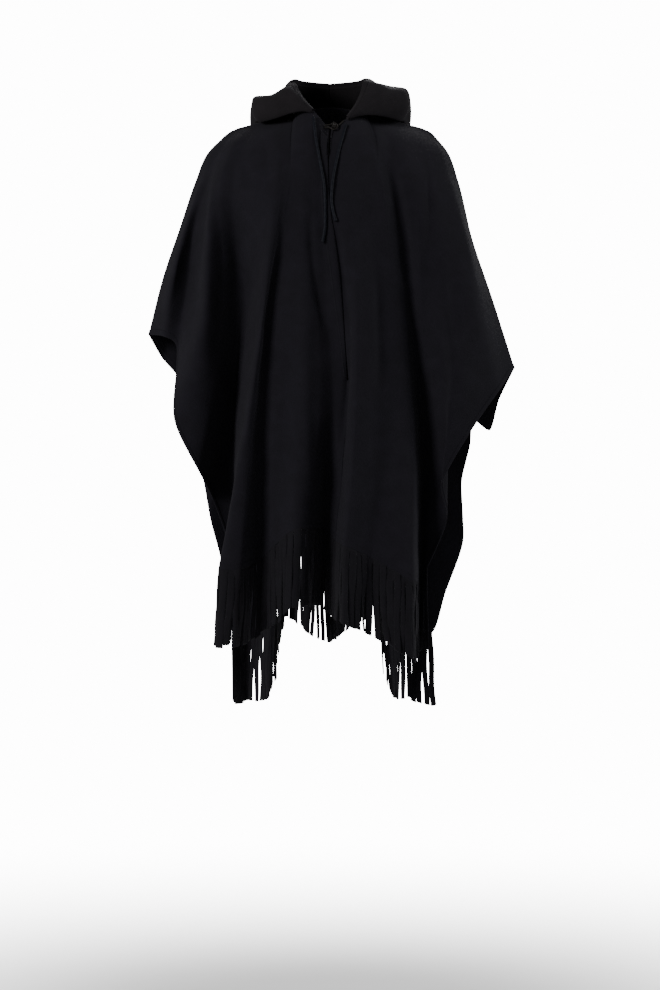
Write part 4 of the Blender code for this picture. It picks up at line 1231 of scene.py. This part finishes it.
@dataclass
class Stitching:
    """Rows of small stitches that lie in the cloth along a line."""

    name: str
    length: float = 0.0031
    pitch: float = 0.0043
    width: float = 0.0008
    slot: str = "felted_wool"

    def build(self, runs: Sequence[tuple[np.ndarray, np.ndarray]]) -> bpy.types.Object:
        """Each stitch is a capsule: five rings of six sides, thick as the root of (1 - t squared).

        Args:
            runs: each row's points on the cloth and the cloth's normals there.

        Returns:
            All the rows as one piece.
        """
        places, aheads, ups = [], [], []
        for line, out in runs:
            reach = chord_lengths(line)
            count = max(2, int(reach[-1] / self.pitch))
            wanted = (np.arange(count) + 0.5 + 0.08 * uneven(np.arange(count), 0.7)) * reach[-1] / count
            read = [np.stack([np.interp(wanted, reach, grid[:, axis]) for axis in range(3)], axis=1)
                    for grid in (line, out)]
            ahead = [np.stack([np.interp(wanted + step, reach, line[:, axis]) for axis in range(3)], axis=1)
                     for step in (-0.001, 0.001)]
            places.append(read[0])
            ups.append(unit(read[1]))
            aheads.append(unit(ahead[1] - ahead[0]))
        place, ahead, up = np.concatenate(places), np.concatenate(aheads), np.concatenate(ups)
        side = unit(np.cross(ahead, up))
        t = np.linspace(-1, 1, 5)
        angle = np.linspace(0, 2 * math.pi, 6, endpoint=False)
        thick = self.width / 2 * np.sqrt(np.clip(1.05 - t ** 2, 0, 1))
        arch = 0.00025 * (1 - t ** 2)
        along = place[:, None] + ahead[:, None] * (t * self.length / 2)[None, :, None]
        along = along + up[:, None] * arch[None, :, None]
        ring = np.cos(angle)[None, None, :, None] * side[:, None, None]
        ring = ring + np.sin(angle)[None, None, :, None] * up[:, None, None]
        corners = along[:, :, None] + ring * thick[None, :, None, None]
        total = len(place)
        number = np.arange(total * 30).reshape(total, 5, 6)
        after = np.roll(number, -1, axis=2)
        faces = np.stack([number[:, :-1], after[:, :-1], after[:, 1:], number[:, 1:]], axis=-1).reshape(-1, 4)
        caps = []
        for row, order in ((0, (3, 2, 1, 0)), (0, (5, 4, 3, 0)), (4, (0, 1, 2, 3)), (4, (0, 3, 4, 5))):
            caps.append(number[:, row][:, list(order)])
        faces = np.concatenate([faces[:, ::-1], *caps])
        return SHOP.piece(self.name, corners.reshape(-1, 3), faces, THREAD)


@dataclass
class Studio:
    """The camera, the plain pale floor and the soft lights."""

    floor_z: float = -1.60
    sky_light: float = 0.27
    sky_seen: float = 14.0

    def build_camera(self) -> None:
        """A level camera whose long side spans the photograph's height at the cape's middle plane."""
        data = bpy.data.cameras.new("camera")
        data.sensor_width = SENSOR
        data.lens = -CAMERA_PLACE[1] * SENSOR / (PHOTO_HIGH * METRES_PER_PIXEL)
        camera = bpy.data.objects.new("camera", data)
        camera.location = CAMERA_PLACE
        camera.rotation_euler = (math.pi / 2, 0, 0)
        bpy.context.scene.collection.objects.link(camera)
        bpy.context.scene.camera = camera

    def add_light(self, name: str, place: tuple, size: float, power: float, colour: tuple) -> None:
        """A square area light aimed at the cape's middle."""
        data = bpy.data.lights.new(name, "AREA")
        data.size = size
        data.energy = power
        data.color = colour
        light = bpy.data.objects.new(name, data)
        light.location = place
        aim = Vector((0, 0, -0.4)) - Vector(place)
        light.rotation_euler = aim.to_track_quat("-Z", "Y").to_euler()
        bpy.context.scene.collection.objects.link(light)

    def build(self) -> None:
        """The floor, an even pale sky and three lights, the strongest high on the left."""
        self.build_camera()
        half = 12.0
        mesh = bpy.data.meshes.new("floor")
        z = self.floor_z
        mesh.from_pydata([(-half, -half, z), (half, -half, z), (half, half, z), (-half, half, z)],
                         [], [(0, 1, 2, 3)])
        floor = bpy.data.objects.new("floor", mesh)
        bpy.context.scene.collection.objects.link(floor)
        SHOP.dress(floor, StudioPaint("floor paint", (0.93, 0.93, 0.93, 1.0)))
        world = bpy.data.worlds.new("studio")
        bpy.context.scene.world = world
        world.use_nodes = True
        tree = world.node_tree
        background = tree.nodes["Background"]
        background.inputs["Color"].default_value = (1.0, 1.0, 1.0, 1.0)
        seen = tree.nodes.new("ShaderNodeLightPath").outputs["Is Camera Ray"]
        strength = tree.nodes.new("ShaderNodeMapRange")
        strength.inputs["To Min"].default_value = self.sky_light
        strength.inputs["To Max"].default_value = self.sky_seen
        tree.links.new(seen, strength.inputs["Value"])
        tree.links.new(strength.outputs[0], background.inputs["Strength"])
        self.add_light("key", (-2.7, -2.6, 0.8), 1.2, 142, (1.0, 0.99, 0.97))
        self.add_light("fill", (3.2, -0.3, 0.8), 1.4, 66, (0.97, 0.98, 1.0))
        self.add_light("back", (0.6, 3.2, 1.8), 2.0, 75, (1.0, 1.0, 1.0))


TACK_POINTS = 9
TACK_COLUMNS = (-2.0, 1.6)
TACK_ROWS = (0.2, 0.6)


def panel_run(panel: Panel, above: float, first: int, last: int,
              lift: float) -> tuple[np.ndarray, np.ndarray]:
    """A line on a panel at a set distance above its lower edge, from one column to another."""
    columns = np.linspace(first, last, 6 * abs(last - first) + 2)
    return panel.at(panel.hem_row(above), columns, lift)


def build_stitches(front: Panel, back: Panel, band: Placket, hoods: Sequence[HoodHalf]) -> None:
    """Every row of stitches: the side hems, above the fringe, the placket and the hood's face edge."""
    sunk = -0.00015
    hems, fringes = [], []
    for panel in (front, back):
        start, end = panel.hem_columns()
        last = panel.points.shape[1] - 1
        hems.append(panel_run(panel, HEM_TURN, 0, start, sunk))
        hems.append(panel_run(panel, HEM_TURN, end, last, sunk))
        fringes.append(panel_run(panel, HEM_TURN, start, end, -0.0002))
    Stitching("hem_stitches").build(hems)
    Stitching("fringe_stitches", width=0.0006).build(fringes)
    slit = front.first_column[1] - 1
    end = np.sum(front.points[:, slit, 2] > SLIT_END_Z)
    across = np.linspace(slit + TACK_COLUMNS[0], slit + TACK_COLUMNS[1], TACK_POINTS)
    tack = [front.at(np.full(TACK_POINTS, end + down), across, 0.0) for down in TACK_ROWS]
    Stitching("placket_stitches").build([band.run(0.14, sunk), band.run(0.86, sunk), *tack])
    edges = []
    for hood in hoods:
        row = hood.points.shape[0] - 1 - HEM_TURN / HEM_BAND * HEM_ROWS
        low = int(row)
        share = row - low
        line = hood.points[low] * (1 - share) + hood.points[low + 1] * share
        out = unit(hood.normals[low])
        edges.append((line + out * (WALL / 2 + sunk), out))
    Stitching("hood_stitches", slot="hood_felt").build(edges)


def main() -> None:
    """Builds the studio, the cords and then every piece of the cape."""
    logging.basicConfig(level=logging.INFO, format="%(message)s")
    Studio().build()
    for tie in (Tie("tie_left", TIE_LEFT, 0.244), Tie("tie_right", TIE_RIGHT, 0.196)):
        LOG.info("built %s", tie.build().name)
    front = Panel("front", Face.FRONT, (FRONT_LEFT, FRONT_RIGHT), 11, 148, FRONT_CREASES,
                  ((0, 6), (1, 5)), (1.21, 0.755), 0.62)
    back = Panel("back", Face.BACK, (BACK_FOLDS,), 10, 140, BACK_CREASES,
                 ((0, 7), (0, 17)), (1.21, 0.755), 0.68)
    for panel in (front, back):
        LOG.info("built %s", panel.build().name)
    band = Placket(front)
    LOG.info("built %s", band.build().name)
    hoods = [HoodHalf(Half.LEFT, LEFT_HOOD_CREASES, front, back),
             HoodHalf(Half.RIGHT, RIGHT_HOOD_CREASES, front, back)]
    for hood in hoods:
        LOG.info("built %s", hood.build().name)
    for fringe in (Fringe(front, 0.9, FRONT_PARTINGS), Fringe(back, 2.3, BACK_PARTINGS)):
        LOG.info("built %s", fringe.build().name)
    frog = Frog()
    for build in (frog.build_knot, frog.build_loop, frog.build_tail):
        LOG.info("built %s", build().name)
    build_stitches(front, back, band, hoods)


if __name__ == "__main__":
    main()
